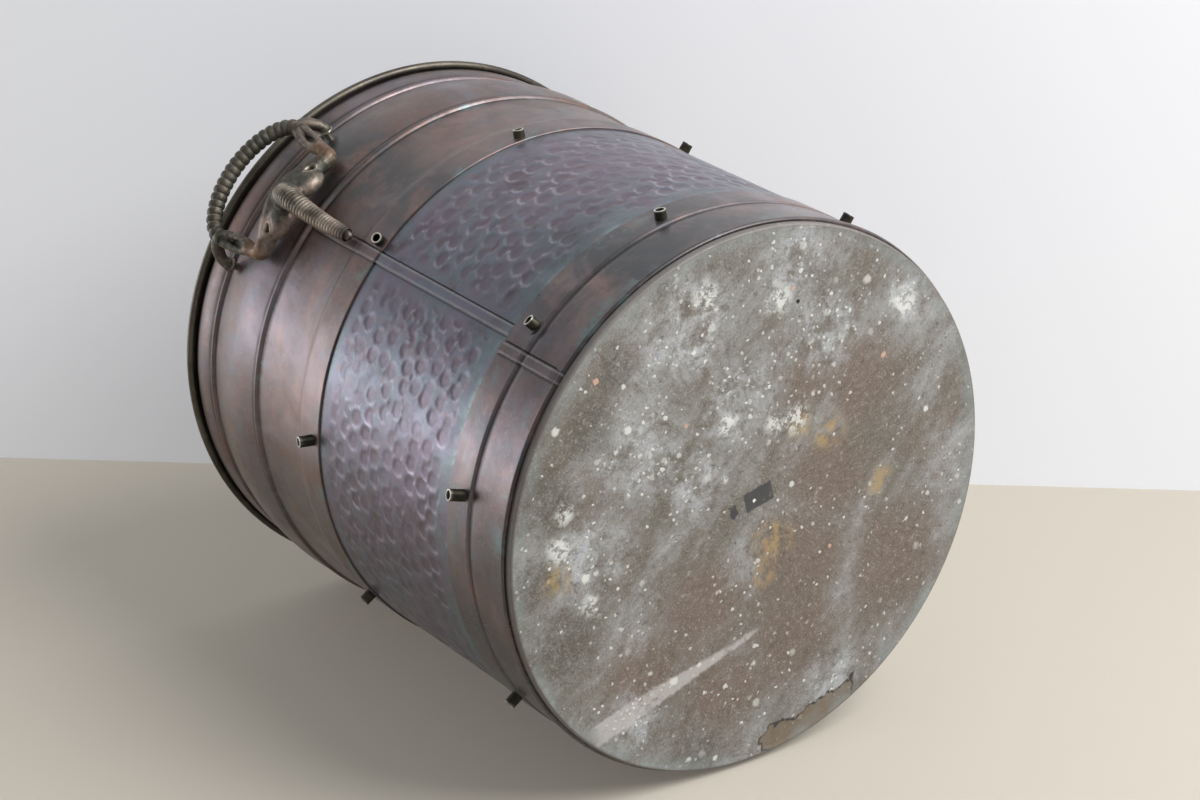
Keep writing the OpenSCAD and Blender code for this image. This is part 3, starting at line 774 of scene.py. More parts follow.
def make_foot_band():
    def plain(z):
        return foot_inside(z) + SHEET, z

    groove_z = HAMMER_LOW_Z - GROOVE_W * 0.75
    lap_z = HAMMER_LOW_Z + 0.2 * MM
    outside = [plain(LIP_Z)] + arc_path(plain(LIP_Z), plain(LIP_Z + HEM_H), HEM_RISE, 8)
    outside += straight(outside[-1], plain(groove_z - GROOVE_W), 2.2 * MM)
    outside += arc_path(plain(groove_z - GROOVE_W), (wall_r(lap_z) + SHEET * 0.75, lap_z), -GROOVE_SINK, 8)
    outside += arc_path(outside[-1], (wall_r(lap_z) + SHEET, lap_z + 0.8 * MM), 0.1 * MM, 2)
    outside += straight(outside[-1], (wall_r(FOOT_TOP_Z) + SHEET, FOOT_TOP_Z - 0.3 * MM), 2.2 * MM)
    outside += [(wall_r(FOOT_TOP_Z) + SHEET * 0.75, FOOT_TOP_Z)]
    inside = [(foot_inside(LIP_Z), LIP_Z), (foot_inside(groove_z - GROOVE_W), groove_z - GROOVE_W),
              (foot_inside(groove_z) - GROOVE_SINK / 2, groove_z), (wall_r(lap_z), lap_z),
              (wall_r(FOOT_TOP_Z), FOOT_TOP_Z)]
    turns = directions(TAU / 500, [(FOOT_SEAM, math.radians(2.2), math.radians(0.08))])
    seam = lock_seam(FOOT_SEAM, LIP_Z + HEM_H, FOOT_TOP_Z + 5 * MM)
    mesh = turned_sheet("foot_band_skin", outside, inside, turns, waves(0.05 * MM, 5), seam)
    # Painted shade in the groove and along the lip
    dark = [(groove_z, 1.5 * MM), (LIP_Z, 2 * MM)]
    green = [(LIP_Z + 5 * MM, 9 * MM), (FOOT_TOP_Z - 4 * MM, 8 * MM)]
    finish = plain_copper("foot_copper", FOOT_WARM, FOOT_COOL, dark, green, 0.26, FOOT_SEAM, FOOT_TOP_Z,
                          ((114, 42),))
    return piece("foot_band_skin", mesh, finish, "foot_copper", "foot_band")


# ---- Hammered band: a smooth ring of sheet, then hammer marks by Geometry Nodes

DIMPLE_ROUND = 10.6 * MM
DIMPLE_HIGH = 10.4 * MM
DIMPLE_DEPTH = 0.34 * MM
PLAIN_LOW = 8 * MM
PLAIN_HIGH = 10 * MM


def hammer_marks(material):
    """Irregular round hammer marks, pushed into the outside of a sheet by its skin coordinates."""
    g = Growth("hammer_marks", Pitch_round=DIMPLE_ROUND, Pitch_high=DIMPLE_HIGH, Depth=DIMPLE_DEPTH,
               Finish=material)
    part = g.split(g.named("skin", "FLOAT_VECTOR"))
    u = g.math("DIVIDE", part[0], g.value("Pitch_round"))
    v = g.math("DIVIDE", part[1], g.value("Pitch_high"))
    shifted = g.math("ADD", u, g.times(g.math("FLOOR", v), 0.5))
    at = g.add("ShaderNodeCombineXYZ", (0, shifted), (1, v)).outputs[0]
    cells = g.add("ShaderNodeTexVoronoi", ("Vector", at), ("Scale", 1.0), ("Randomness", 0.55),
                  voronoi_dimensions="2D", feature="F1").outputs
    far = cells["Distance"]
    offset = g.add("ShaderNodeVectorMath", (0, at), (1, cells["Position"]), operation="SUBTRACT")
    lean = g.split(offset.outputs[0])
    luck = g.add("FunctionNodeSeparateColor", (0, cells["Color"])).outputs
    force = g.rise(luck[0], 0.0, 1.0, 0.65, 1.15)
    bowl = g.rise(far, 0.48, 0.28)
    ring = g.times(g.rise(far, 0.38, 0.5), g.rise(far, 0.66, 0.52))
    tilt = g.math("MULTIPLY_ADD", lean[1], g.math("MULTIPLY_ADD", luck[1], 1.6, -0.4), 1.0)
    zone = g.named("zone")
    push = g.times(bowl, force, tilt, zone)
    lift = g.times(ring, 0.12, zone)
    move = g.times(g.math("SUBTRACT", lift, push), g.value("Depth"))
    normal = g.add("GeometryNodeInputNormal").outputs[0]
    step = g.add("ShaderNodeVectorMath", (0, normal), ("Scale", move), operation="SCALE")
    moved = g.add("GeometryNodeSetPosition", (0, g.start.outputs[0]), ("Offset", step.outputs[0]))
    hollowed = g.keep(moved.outputs[0], "hollow", g.math("MINIMUM", push, 1.0))
    # A pale crescent on one side of each mark: a painted highlight that also stands for wear
    crescent = g.times(g.rise(far, 0.34, 0.42), g.rise(far, 0.56, 0.46))
    worn_sheen = g.times(crescent, g.rise(lean[0], -0.08, -0.34), zone)
    g.close(g.keep(hollowed, "worn_sheen", g.times(worn_sheen, force)))
    return g


def make_hammered_band():
    def at(z, out=0.0):
        return wall_r(z) + out, z

    marked_low, marked_high = FOOT_TOP_Z + PLAIN_LOW * 0.4, LAP_LINE_Z - PLAIN_HIGH * 0.4
    outside = [at(HAMMER_LOW_Z), at(FOOT_TOP_Z - 1 * MM)]
    outside += straight(outside[-1], at(marked_low), 1.6 * MM)
    outside += straight(at(marked_low), at(marked_high), 1.12 * MM)
    outside += straight(at(marked_high), at(LAP_LINE_Z + 1 * MM), 1.6 * MM) + [at(HAMMER_TOP_Z)]
    inside = [at(z, -SHEET) for z in np.linspace(HAMMER_LOW_Z, HAMMER_TOP_Z, 12)]
    turns = directions(TAU / 790, [(MAIN_SEAM, math.radians(2.2), math.radians(0.1))])
    seam = lock_seam(MAIN_SEAM, FOOT_TOP_Z - 5 * MM, LAP_LINE_Z + 5 * MM)
    mesh = turned_sheet("hammered_band_skin", outside, inside, turns, waves(0.1 * MM, 8), seam)
    x, y, z = read(mesh.vertices, "co", 3).T
    azimuth = np.arctan2(y, x)
    round_way = ((azimuth - MAIN_SEAM) % TAU) * wall_r(SPREAD_Z)
    outer = np.arange(len(x)) < len(outside) * len(turns)
    wander = grain(np.cos(azimuth), np.sin(azimuth), z * 8, 3.0, 6) * 3 * MM
    zone = smoothstep(z + wander, FOOT_TOP_Z + PLAIN_LOW * 0.6, FOOT_TOP_Z + PLAIN_LOW * 1.4)
    zone *= smoothstep(LAP_LINE_Z - z - wander * 0.3, PLAIN_HIGH * 0.7, PLAIN_HIGH * 1.2)
    beside = np.abs(arc_from(azimuth, MAIN_SEAM))
    zone *= smoothstep(beside, 5 * MM, 12 * MM) * outer
    zone *= 0.8 + 0.35 * grain(np.cos(azimuth), np.sin(azimuth), z * 7, 4.0, 9)
    store(mesh, "skin", np.stack([round_way, z, np.zeros_like(z)], axis=1))
    store(mesh, "zone", zone)
    finish = hammered_copper()
    made = hammer_marks(finish).run("hammered_band_marks", mesh)
    return piece("hammered_band_skin", made, finish, "hammered_copper", "hammered_band")


# ---- Upper band: lap, plain stretch, bead, bulged stretch, ridge, narrow stretch, shoulder, neck and flange

BEAD_W = 4 * MM
BEAD_RISE = 1.6 * MM
BULGE = 3 * MM
DRAW_IN = 2.2 * MM
NECK_IN = 4.2 * MM


def make_upper_band():
    lap_end_z = HAMMER_TOP_Z + 0.6 * MM
    bead_r = wall_r(BEAD_Z) + SHEET - LAP_STEP
    ridge_r, shoulder_r = bead_r - DRAW_IN / 2, bead_r + DRAW_IN / 4
    neck_r = shoulder_r - NECK_IN
    wall = [(wall_r(LAP_LINE_Z) + SHEET * 0.7, LAP_LINE_Z),
            (wall_r(LAP_LINE_Z) + SHEET, LAP_LINE_Z + 0.3 * MM)]
    wall += straight(wall[-1], (wall_r(lap_end_z) + SHEET, lap_end_z), 2.5 * MM)
    wall += arc_path(wall[-1], (wall_r(lap_end_z) + SHEET - LAP_STEP, lap_end_z + 2.4 * MM), 0.0, 3)
    wall += arc_path(wall[-1], (bead_r, BEAD_Z - BEAD_W / 2), -0.5 * MM, 16)
    wall += arc_path(wall[-1], (bead_r, BEAD_Z + BEAD_W / 2), BEAD_RISE, 10)
    wall += arc_path(wall[-1], (ridge_r, RIDGE_Z - BEAD_W / 2), BULGE, 22)
    wall += arc_path(wall[-1], (ridge_r, RIDGE_Z + BEAD_W / 2), BEAD_RISE, 10)
    wall += arc_path(wall[-1], (shoulder_r, SHOULDER_Z - 0.8 * MM), 0.6 * MM, 8)
    inside = [(r - SHEET, z) for r, z in wall]
    outside = wall + [(shoulder_r - 0.3 * MM, SHOULDER_Z - 0.2 * MM), (shoulder_r - 0.8 * MM, SHOULDER_Z)]
    outside += [(neck_r, SHOULDER_Z), (neck_r, FLANGE_LOW_Z), (HOOP_R, FLANGE_LOW_Z)]
    inside += [(shoulder_r - SHEET, SHOULDER_Z - SHEET), (neck_r - SHEET, SHOULDER_Z - SHEET),
               (neck_r - SHEET, FLANGE_LOW_Z + SHEET * 0.6), (neck_r - SHEET / 2, FLANGE_LOW_Z + SHEET),
               (HOOP_R, FLANGE_LOW_Z + SHEET)]
    turns = directions(TAU / 560, [(MAIN_SEAM, math.radians(2.2), math.radians(0.1))])
    seam = lock_seam(MAIN_SEAM, LAP_LINE_Z - 5 * MM, BEAD_Z - BEAD_W / 2)
    slow = waves(0.14 * MM, 11)

    def bend(azimuth, height):
        return slow(azimuth, height) * smoothstep(SHOULDER_Z - height, 0, 20 * MM)

    mesh = turned_sheet("upper_band_skin", outside, inside, turns, bend, seam)
    # Painted shade beside the bead and the ridge, and a wide band of painted shade in the recess under the
    # hoop
    dark = [(BEAD_Z - BEAD_W * 0.8, 2.2 * MM), (RIDGE_Z - BEAD_W * 0.8, 2.4 * MM),
            (BEAD_Z + BEAD_W, 1.6 * MM), (RIDGE_Z + BEAD_W, 2 * MM), (SHOULDER_Z + 2 * MM, 10 * MM)]
    green = [(LAP_LINE_Z + 3 * MM, 8 * MM), (BEAD_Z - 3 * MM, 5 * MM)]
    finish = plain_copper("upper_copper", UPPER_WARM, UPPER_COOL, dark, green, 0.3, MAIN_SEAM,
                          BEAD_Z - BEAD_W, ((104, 18),))
    return piece("upper_band_skin", mesh, finish, "upper_copper", "upper_band")


# ---- Rim hoop


def make_rim_hoop():
    turns = np.linspace(0, TAU, 40, endpoint=False)
    ring = [(HOOP_R + HOOP_D / 2 * math.cos(a), HOOP_Z + HOOP_D / 2 * math.sin(a)) for a in turns]
    dents = waves(0.04 * MM, 21)
    mesh = turned_sheet("rim_hoop_skin", ring, [], directions(TAU / 720), dents)
    return piece("rim_hoop_skin", mesh, hoop_brass(), "hoop_brass", "rim_hoop")


# ---- Tube rivets: one short tube, set round the body by Geometry Nodes

STUD_R = 2.9 * MM
BORE_R = 2.1 * MM
STUD_COUNT = 9
STUD_FIRST = 92
STUD_UP = 5.5 * MM
# Each ring of tubes: the edge it stands above, how far each tube strays in degrees, how much of its full
# length it still has, and how far it is bent towards +Z
TUBE_RINGS = (
    (HAMMER_LOW_Z, (0, -7, 0, 0, 0, 0, 0, -3.5, 5), (0.5, 0.6, 0.7, 0.9, 0.8, 1, 0.9, 0.85, 1),
     (0.3, 0.12, 0, 0.05, 0, -0.06, 0.04, 0, 0.1)),
    (LAP_LINE_Z, (0, -3, 0, 0, 0, 0, 0, -3, -3), (0.6, 0.5, 0.66, 0.9, 1, 0.8, 0.9, 0.8, 1),
     (-0.35, 0.1, 0, 0.04, -0.05, 0.06, 0, 0, 0.12)),
)


def tube_mesh():
    """An open tube from inside the wall, one unit of length along +Z, with a flange, a worn lip and painted
    shade in its bore.
    """
    section = [(STUD_R + 2.1 * MM, -2.6 * MM), (STUD_R + 2.1 * MM, -1.8 * MM),
               (STUD_R, -1.8 * MM), (STUD_R, 0),
               (STUD_R * 1.01, 2 * MM), (STUD_R * 0.98, 5.6 * MM), (STUD_R * 1.02, 7 * MM),
               (STUD_R * 0.99, 7.35 * MM), (STUD_R * 0.9, 7.5 * MM), (BORE_R * 1.08, 7.5 * MM),
               (BORE_R, 7.3 * MM), (BORE_R, 5 * MM), (BORE_R, 0), (BORE_R, -2.6 * MM)]
    bright = [0, 0, 0, 0, 0, 0, 0.1, 0.7, 1, 1, 0.5, 0, 0, 0]
    # Painted shade inside the bore, from its mouth down
    bore_shade = [0, 0, 0, 0, 0, 0, 0, 0, 0, 0, 0.2, 1, 1, 1]
    cols = 28
    points = [(r * math.cos(TAU * i / cols), r * math.sin(TAU * i / cols), z)
              for r, z in section for i in range(cols)]
    faces = grid_faces(len(section), cols, True)
    mesh = mesh_from("tube", points, faces, 40)
    store(mesh, "bright", [b for b in bright for _ in range(cols)])
    store(mesh, "bore_shade", [b for b in bore_shade for _ in range(cols)])
    return mesh


def set_round(material):
    """Puts a copy of the tube at every vertex, turned to its facing and stretched by its reach."""
    model = placed("tube_model", tube_mesh())
    g = Growth("tubes_round_the_body", Model=model, Finish=material)
    facing, reach = g.named("facing", "FLOAT_VECTOR"), g.named("reach")
    turn = g.add("FunctionNodeAlignRotationToVector", ("Vector", facing), axis="Z")
    size = g.add("ShaderNodeCombineXYZ", (0, 1.0), (1, 1.0), (2, reach))
    points = g.add("GeometryNodeMeshToPoints", (0, g.start.outputs[0]))
    shown = g.add("GeometryNodeObjectInfo", ("Object", g.value("Model")), transform_space="ORIGINAL")
    copies = g.add("GeometryNodeInstanceOnPoints", ("Points", points.outputs[0]),
                   ("Instance", shown.outputs["Geometry"]), ("Rotation", turn.outputs[0]),
                   ("Scale", size.outputs[0]))
    g.close(copies.outputs[0])
    return g, model


def make_tube_rivets():
    random_source = np.random.default_rng(4)
    places, facings, reaches = [], [], []
    for edge_z, *ring in TUBE_RINGS:
        for i, (stray, kept, bent) in enumerate(zip(*ring)):
            azimuth = math.radians(STUD_FIRST + i * 360 / STUD_COUNT + stray)
            z = edge_z + STUD_UP
            out = Vector((math.cos(azimuth), math.sin(azimuth), 0))
            across = Vector((-math.sin(azimuth), math.cos(azimuth), 0))
            tilt = random_source.uniform(-0.05, 0.05, 2) + (0, bent)
            places.append(out * (wall_r(z) + SHEET) + Vector((0, 0, z)))
            facings.append((out + across * tilt[0] + Vector((0, 0, tilt[1]))).normalized())
            reaches.append(kept)
    mesh = bpy.data.meshes.new("tube_places")
    mesh.from_pydata([tuple(p) for p in places], [], [])
    store(mesh, "facing", facings)
    store(mesh, "reach", reaches)
    material = tube_brass()
    growth, model = set_round(material)
    made = growth.run("tube_rivets", mesh, 40)
    bpy.data.objects.remove(model)
    names = [f"{ring}_tube_rivet_{i}" for ring in ("lower", "upper") for i in range(1, STUD_COUNT + 1)]
    return piece("tube_rivets_skin", made, material, "tube_brass", *names)


# ---- Handles: ribbed grip and trunk by Geometry Nodes, and a cast head with arms, ears and feet

# The numbers of the grip and of all knots and places below are in millimetres
GRIP_HALF = 32
GRIP_R = 3.85
GRIP_OUT = (15.6, 19.8)
GRIP_Z = (279.5, 295)


def on_handle(u, out, z):
    """A point of the back handle, in metres: u millimetres along the wall, out from it, at height z."""
    turn = u * MM / MOUTH_R
    r = wall_r(z * MM) + out * MM
    return Vector((r * math.sin(turn), r * math.cos(turn), z * MM))


def grip_line(count):
    """Middle line of the grip with its radii, from one end to the other."""
    line = []
    for i in range(count + 1):
        a = math.pi * i / count
        out, z = (ends + (middle - ends) * math.sin(a) for ends, middle in (GRIP_OUT, GRIP_Z))
        radius = GRIP_R * (0.85 + 0.15 * math.sin(a) ** 0.5)
        line.append((on_handle(GRIP_HALF * math.cos(a), out, z), radius))
    return line


TRUNK_KNOTS = ((0, 14, 249, 5.2), (0, 18.5, 243.5, 5.8), (0.4, 20.1, 236, 5.8), (1.0, 19, 228, 5.3),
               (1.5, 14.8, 218, 4.7), (1.5, 10.6, 208.5, 4.2), (1.2, 7.6, 200, 3.8), (1.0, 6.2, 196, 3.5))


def smooth_line(knots, steps):
    """A smooth run through (u, out, z, radius) knots, as (point, radius) pairs."""
    knots = [np.array(k, float) for k in knots]
    run = []
    for i in range(len(knots) - 1):
        a, b, c, d = knots[max(i - 1, 0)], knots[i], knots[i + 1], knots[min(i + 2, len(knots) - 1)]
        for j in range(steps):
            t = j / steps
            run.append(b + t * (c - a) / 2 + t * t * (2 * a - 5 * b + 4 * c - d) / 2
                       + t ** 3 * (3 * b - a - 3 * c + d) / 2)
    run.append(knots[-1])
    return [(on_handle(*k[:3]), k[3]) for k in run]


# Ribs of the grip and of the trunk: their pitch, then width and height as shares of the limb's radius, then
# how much the ribs are finished as crests, and how much the core between them as grooves
GRIP_RIBS = (4 * MM, 0.42, 0.15, 0.0, 1.0)
TRUNK_RIBS = (1.85 * MM, 0.15, 0.06, 1.0, 0.0)


def rib_growth(material, pitch, width, height, crest, groove):
    """A round core along a line of vertices, with a rib round it at every pitch."""
    g = Growth("ribbed_limb", Pitch=pitch, Rib_width=width, Rib_height=height, Finish=material)
    girth = g.named("girth")
    path = g.add("GeometryNodeMeshToCurve", (0, g.start.outputs[0])).outputs[0]
    fine = g.add("GeometryNodeResampleCurve", (0, path), ("Count", 90), mode="COUNT").outputs[0]

    def ring(sides, radius):
        circle = g.add("GeometryNodeCurvePrimitiveCircle", ("Resolution", sides), ("Radius", radius))
        return circle.outputs[0]

    core = g.add("GeometryNodeCurveToMesh", (0, fine), (1, ring(28, 1.0)), ("Scale", girth),
                 ("Fill Caps", True))
    dusty = g.keep(core.outputs[0], "groove", groove)
    # The rib's section is an octagon lying on a flat side, stretched to its height and width
    size = g.add("ShaderNodeCombineXYZ", (0, g.value("Rib_height")), (1, g.value("Rib_width")), (2, 1.0))
    level = g.add("GeometryNodeTransform", (0, ring(8, 1.08)), ("Rotation", (0.0, 0.0, TAU / 16)))
    flat = g.add("GeometryNodeTransform", (0, level.outputs[0]), ("Scale", size.outputs[0]))
    rib = g.add("GeometryNodeCurveToMesh", (0, ring(32, 1.0)), (1, flat.outputs[0]))
    stations = g.add("GeometryNodeCurveToPoints", (0, path), ("Length", g.value("Pitch")),
                     mode="LENGTH").outputs
    ribs = g.add("GeometryNodeInstanceOnPoints", ("Points", stations[0]),
                 ("Instance", g.keep(rib.outputs[0], "crest", crest)),
                 ("Rotation", stations["Rotation"]), ("Scale", girth))
    both = g.add("GeometryNodeJoinGeometry", (0, dusty), (0, ribs.outputs[0]))
    g.close(both.outputs[0])
    return g


def ribbed_limb(name, line, growth):
    """The mesh of a ribbed limb along a line of (point, radius in millimetres) pairs."""
    mesh = bpy.data.meshes.new(name)
    mesh.from_pydata([tuple(p) for p, _ in line], [(i, i + 1) for i in range(len(line) - 1)], [])
    store(mesh, "girth", [r * MM for _, r in line])
    return growth.run(name, mesh, 60)


def add_ball(bm, at, radii, turn=0.0):
    """An ellipsoid with three radii, in metres, turned about Z."""
    place = Matrix.Translation(at) @ Matrix.Rotation(turn, 4, "Z") @ Matrix.Diagonal((*radii, 1))
    bmesh.ops.create_icosphere(bm, subdivisions=3, radius=1, matrix=place)


def add_limb(bm, knots, steps=5, sides=14):
    """A closed round limb through (u, out, z, radius) knots."""
    line = smooth_line(knots, steps)
    rings = []
    for i, (p, r) in enumerate(line):
        tangent = (line[min(i + 1, len(line) - 1)][0] - line[max(i - 1, 0)][0]).normalized()
        first = tangent.orthogonal() if i == 0 else first - tangent * first.dot(tangent)
        first.normalize()
        second = tangent.cross(first)
        turns = [TAU * k / sides for k in range(sides)]
        spokes = [first * math.cos(turn) + second * math.sin(turn) for turn in turns]
        rings.append([bm.verts.new(p + spoke * r * MM) for spoke in spokes])
    for low, high in zip(rings, rings[1:]):
        for k in range(sides):
            bm.faces.new((low[k], low[(k + 1) % sides], high[(k + 1) % sides], high[k]))
    bm.faces.new(rings[0][::-1])
    bm.faces.new(rings[-1])
    for p, r in (line[0], line[-1]):
        add_ball(bm, p, (r * MM,) * 3)


# Limbs of the cast head as (u, out, z, radius) knots. Those from KNOT to LEAF stand on both sides.
BROW = ((-24, 8.5, 251, 4.6), (-12, 11.5, 252, 5.8), (0, 14, 251, 7), (12, 11.5, 252, 5.8),
        (24, 8.5, 251, 4.6))
SNOUT = ((0, 13, 250, 7.4), (0, 17, 243, 7.6), (0, 19, 237, 6.8))
TRUNK_TIP = ((0.8, 6.6, 198, 3.4), (0.8, 5.6, 194.6, 2.4))
KNOT = ((20, 9.5, 250, 5.2), (28, 8.2, 251, 4.9), (30, 9.2, 256, 3.9), (30.5, 10.2, 260, 3.5))
EAR_INNER = ((29.5, 9.5, 258, 3.2), (27.6, 11.6, 264, 2.3), (28, 13.6, 271, 2.2), (29.8, 15.4, 277.5, 2.7),
             (31.6, 15.8, 281, 3.5))
EAR_OUTER = ((30, 9.4, 258, 3.2), (32.4, 10.2, 264, 2.4), (33.4, 12, 271, 2.3), (33.2, 14.4, 277.5, 2.8),
             (31.6, 15.8, 281, 3.5))
LEAF = ((31.5, 16, 281, 3.6), (36.5, 13, 283.5, 3.5), (41, 8.5, 283.5, 3.2), (43.8, 4, 281.5, 2.6))
# Rounded lumps on both sides: place, radii and turn
CHEEK = ((10, 11.5, 246), (11.5, 6, 9.5), -0.42)
EAR_DISH = ((30.4, 11, 268), (3.2, 1.5, 8), -0.22)
FOOT_PAD = ((43, 3.2, 281.5), (4.4, 1.6, 4.6), -0.3)


def cast_head():
    """Head, arms, ears and feet as one lump, merged on a fine grid and smoothed."""
    bm = bmesh.new()
    for limb in (BROW, SNOUT, TRUNK_TIP):
        add_limb(bm, limb)
    for side in (-1, 1):
        for limb in (KNOT, EAR_INNER, EAR_OUTER, LEAF):
            add_limb(bm, [(side * u, *rest) for u, *rest in limb])
        for (u, out, z), radii, turn in (CHEEK, EAR_DISH, FOOT_PAD):
            add_ball(bm, on_handle(side * u, out, z), [r * MM for r in radii], side * turn)
    mesh = bpy.data.meshes.new("cast_head")
    bm.to_mesh(mesh)
    bm.free()
    obj = placed("cast_head", mesh)
    grid = obj.modifiers.new("grid", "REMESH")
    grid.mode, grid.voxel_size, grid.use_smooth_shade = "VOXEL", 0.55 * MM, True
    soften = obj.modifiers.new("soften", "SMOOTH")
    soften.factor, soften.iterations = 0.5, 6
    made = baked(obj)
    carve_head(made)
    return made


# Places on both sides of the head where it is carved, rusty or painted with shade
EYE = (17.2, 14.8, 246.5)
EAR_HOLLOW = (30.6, 12.8, 268.5)
NECK = (29, 9, 255)


def carve_head(mesh):
    """Eye holes, worn high places, painted shade in the eye holes and hollows, and the rusty necks, worked
    into the cast head.
    """
    count = len(mesh.vertices)
    co, no = read(mesh.vertices, "co", 3), read(mesh.vertices, "normal", 3)

    def away_from(side, place, tall=1):
        """Distance in millimetres from a place on one side, with heights divided by tall."""
        middle = np.array(on_handle(side * place[0], *place[1:]))
        return np.linalg.norm((co - middle) / (1, 1, tall), axis=1) / MM

    sink = np.zeros(count)
    # Painted shade: dark in the eye holes, the ear hollows and, below, in concave places
    hollow_shade = np.zeros(count)
    for side in (-1, 1):
        away = away_from(side, EYE, 0.6)
        lid = smoothstep(1.3 - np.abs(away - 3.6), 0, 1.0)
        sink += 0.9 * smoothstep(2.9 - away, 0, 1.5) - 0.35 * lid
        hollow_shade = np.maximum(hollow_shade, smoothstep(2.7 - away, 0, 1.0))
        hollow_shade = np.maximum(hollow_shade, 0.85 * smoothstep(2.8 - away_from(side, EAR_HOLLOW, 1.9), 0, 1.2))
    rough = grain(*co.T, 420, 12)
    co = co - no * (sink * MM)[:, None] + no * (rough * 0.12 * MM)[:, None]
    mesh.vertices.foreach_set("co", co.ravel())
    # How far each vertex stands out from its neighbours, evened out twice
    a, b = read(mesh.edges, "vertices", 2).T
    around = np.zeros((count, 3))
    links = np.zeros(count)
    for p, q in ((a, b), (b, a)):
        np.add.at(around, p, co[q])
        np.add.at(links, p, 1)
    bulging = ((co - around / links[:, None]) * no).sum(1) / MM
    for _ in range(2):
        total = np.zeros(count)
        np.add.at(total, a, bulging[b])
        np.add.at(total, b, bulging[a])
        bulging = (bulging + total / links) / 2
    neck = np.zeros(count)
    for side in (-1, 1):
        neck = np.maximum(neck, smoothstep(11 - away_from(side, NECK), 0, 6))
    store(mesh, "crest", smoothstep(bulging, 0.012, 0.045))
    # Painted shade in concave places as well as the eyes and ear hollows
    store(mesh, "hollow_shade", np.maximum(hollow_shade, smoothstep(-bulging, 0.012, 0.05)))
    store(mesh, "rusty", neck)
    mesh.update()


def joined(name, meshes):
    """One mesh out of several, which keeps their stored numbers."""
    objects = []
    for mesh in meshes:
        for label in ("crest", "hollow_shade", "rusty", "groove"):
            if label not in mesh.attributes:
                store(mesh, label, np.zeros(len(mesh.vertices)))
        objects.append(placed(name, mesh))
    with bpy.context.temp_override(active_object=objects[0], selected_editable_objects=objects):
        bpy.ops.object.join()
    mesh = objects[0].data
    bpy.data.objects.remove(objects[0])
    return mesh


def make_handles():
    material = cast_brass()
    grip = ribbed_limb("grip", grip_line(48), rib_growth(material, *GRIP_RIBS))
    trunk = ribbed_limb("trunk", smooth_line(TRUNK_KNOTS, 8), rib_growth(material, *TRUNK_RIBS))
    back = joined("handle_back_skin", [cast_head(), grip, trunk])
    front = back.copy()
    front.transform(Matrix.Rotation(math.pi, 4, "Z"))
    return [piece("handle_back_skin", back, material, "cast_brass", "handle_back"),
            piece("handle_front_skin", front, material, "cast_brass", "handle_front")]


def finish_handle_rivets():
    """The CAD rivets keep their shape and get the tube rivets' brass."""
    material = bpy.data.materials["tube_brass"]
    for i in range(1, 5):
        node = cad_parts[f"handle_rivet_{i}"]
        node.data.materials.clear()
        node.data.materials.append(material)


# ---- Stage, lamps and camera


def mixed(tree, output, factor, first, second):
    """Sends a mix of two shaders to the output node: the first where the factor is 0."""
    mix = tree.nodes.new("ShaderNodeMixShader")
    for socket, value in zip(mix.inputs, (factor, first, second)):
        tree.links.new(value, socket)
    tree.links.new(mix.outputs[0], tree.nodes[output].inputs[0])


def one_sided(name, color, glow):
    """A plain matt surface with a faint even glow, which shows only from its front."""
    material = bpy.data.materials.new(name)
    material.use_nodes = True
    nodes = material.node_tree.nodes
    shader = nodes["Principled BSDF"]
    for label, value in (("Base Color", (*color, 1)), ("Roughness", 0.9), ("Emission Color", (*color, 1)),
                         ("Emission Strength", glow)):
        shader.inputs[label].default_value = value
    clear = nodes.new("ShaderNodeBsdfTransparent")
    behind = nodes.new("ShaderNodeNewGeometry").outputs["Backfacing"]
    mixed(material.node_tree, "Material Output", behind, shader.outputs[0], clear.outputs[0])
    return material


def stage_plane(name, middle, across, up, size, material, object_sees=True):
    """A square of the stage. It faces along across x up."""
    across, up = across.normalized() * size / 2, up.normalized() * size / 2
    corners = [middle - across - up, middle + across - up, middle + across + up, middle - across + up]
    mesh = mesh_from(name, corners, [(0, 1, 2, 3)])
    mesh.materials.append(material)
    obj = placed(name, mesh)
    obj.visible_shadow = False
    if not object_sees:
        obj.visible_glossy = obj.visible_diffuse = False


CAMERA_AT = Vector((0.0970, 0.8176, -0.8461))
CAMERA_RIGHT = Vector((-0.56733, -0.60347, -0.56032))
CAMERA_AHEAD = Vector((-0.08128, -0.63607, 0.76734))
CAMERA_LENS = 74.64
# Down through the leaning floor, and along it away to the wall
TABLE_OUT = Vector((0.731, -0.682, -0.024)).normalized()
TABLE_GAP = 140.5 * MM
WALL_AWAY = Vector((-0.421, -0.479, 0.770)).normalized()
WALL_GAP = 370 * MM
STAGE_SIZE, GROUND_SIZE = 5, 6
FLOOR_TONE, FLOOR_GLOW = (0.38, 0.35, 0.297), 0.27
WALL_TONE, WALL_GLOW = (0.75, 0.76, 0.79), 0.17
GROUND_TONE = (0.72, 0.71, 0.69)
DAYLIGHT = (0.93, 0.95, 1)
ROOM_STRENGTH = 0.4
BACKDROP_TONE = (0.86, 0.86, 0.88)
# Lamps: place in the room as up, away and side, then size in metres, power in watts and colour
LAMPS = (("left_window", (0.0, 0.32, 1.5), 0.8, 7, DAYLIGHT),
         ("room_right", (1.5, -0.5, -1.4), 1.5, 62, (1, 1, 1)))


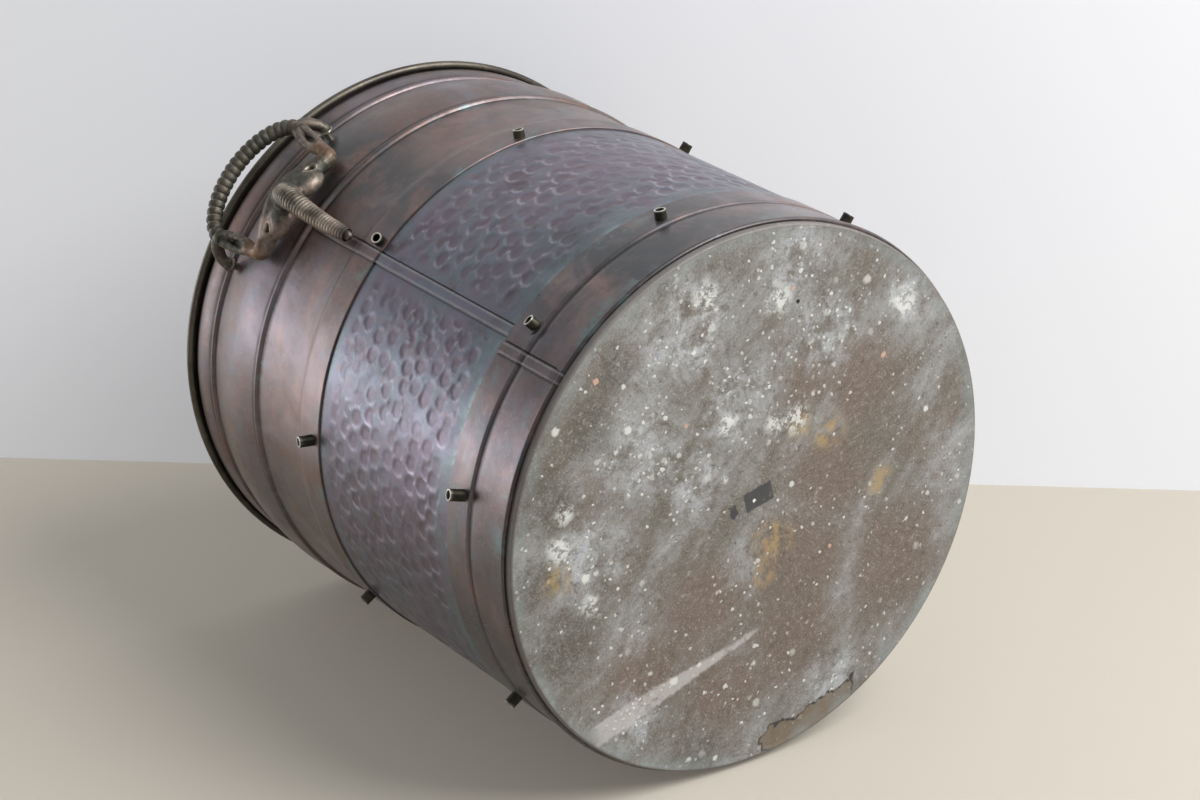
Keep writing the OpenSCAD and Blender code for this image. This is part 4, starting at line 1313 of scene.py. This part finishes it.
def make_stage():
    pale = one_sided("pale_floor", FLOOR_TONE, FLOOR_GLOW)
    ground = one_sided("pale_ground", GROUND_TONE, 0)
    wall = one_sided("white_wall", WALL_TONE, WALL_GLOW)
    corner = TABLE_OUT * TABLE_GAP + WALL_AWAY * WALL_GAP
    side = WALL_AWAY.cross(TABLE_OUT)
    reach = STAGE_SIZE / 2
    stage_plane("lean_floor", corner - WALL_AWAY * reach, WALL_AWAY, side, STAGE_SIZE, pale)
    stage_plane("back_wall", corner - TABLE_OUT * reach, -TABLE_OUT, side, STAGE_SIZE, wall)
    below = Vector((0, 0, -0.5 * MM))
    stage_plane("ground", below, Vector((1, 0, 0)), Vector((0, 1, 0)), GROUND_SIZE, ground, False)


def add_lamp(name, at, target, size, power, color):
    lamp = bpy.data.lights.new(name, "AREA")
    lamp.shape, lamp.size, lamp.energy, lamp.color = "DISK", size, power, color
    obj = placed(name, lamp)
    obj.location = at
    obj.rotation_mode = "QUATERNION"
    obj.rotation_quaternion = (target - at).to_track_quat("-Z", "Y")
    obj.visible_camera = False


def in_room(up, away, side):
    """A point of the room: up from the leaning floor, away to the wall, and to the left along it."""
    middle = Vector((0, 0, BODY_H / 2))
    return middle - TABLE_OUT * up + WALL_AWAY * away + WALL_AWAY.cross(TABLE_OUT) * side


def make_light():
    for name, place, *kind in LAMPS:
        add_lamp(name, in_room(*place), in_room(0, 0, 0), *kind)
    world = bpy.data.worlds.new("soft_room")
    world.use_nodes = True
    nodes = world.node_tree.nodes
    room = nodes["Background"]
    room.inputs["Color"].default_value = (*DAYLIGHT, 1)
    room.inputs["Strength"].default_value = ROOM_STRENGTH
    seen = nodes.new("ShaderNodeBackground")
    seen.inputs["Color"].default_value = (*BACKDROP_TONE, 1)
    looked_at = nodes.new("ShaderNodeLightPath").outputs["Is Camera Ray"]
    mixed(world.node_tree, "World Output", looked_at, room.outputs[0], seen.outputs[0])
    bpy.context.scene.world = world


def make_camera():
    lens = bpy.data.cameras.new("camera")
    lens.lens, lens.sensor_width = CAMERA_LENS, 36
    lens.clip_start, lens.clip_end = 0.05, 50
    back, right = -CAMERA_AHEAD.normalized(), CAMERA_RIGHT.normalized()
    up = back.cross(right)
    turn = Matrix((right, up, back)).transposed().to_4x4()
    obj = placed("camera", lens)
    obj.matrix_world = Matrix.Translation(CAMERA_AT) @ turn
    bpy.context.scene.camera = obj


make_camera()
make_stage()
make_light()
make_base_plate()
make_foot_band()
make_hammered_band()
make_upper_band()
make_rim_hoop()
make_tube_rivets()
make_handles()
finish_handle_rivets()
bpy.context.scene.view_settings.view_transform = "Standard"
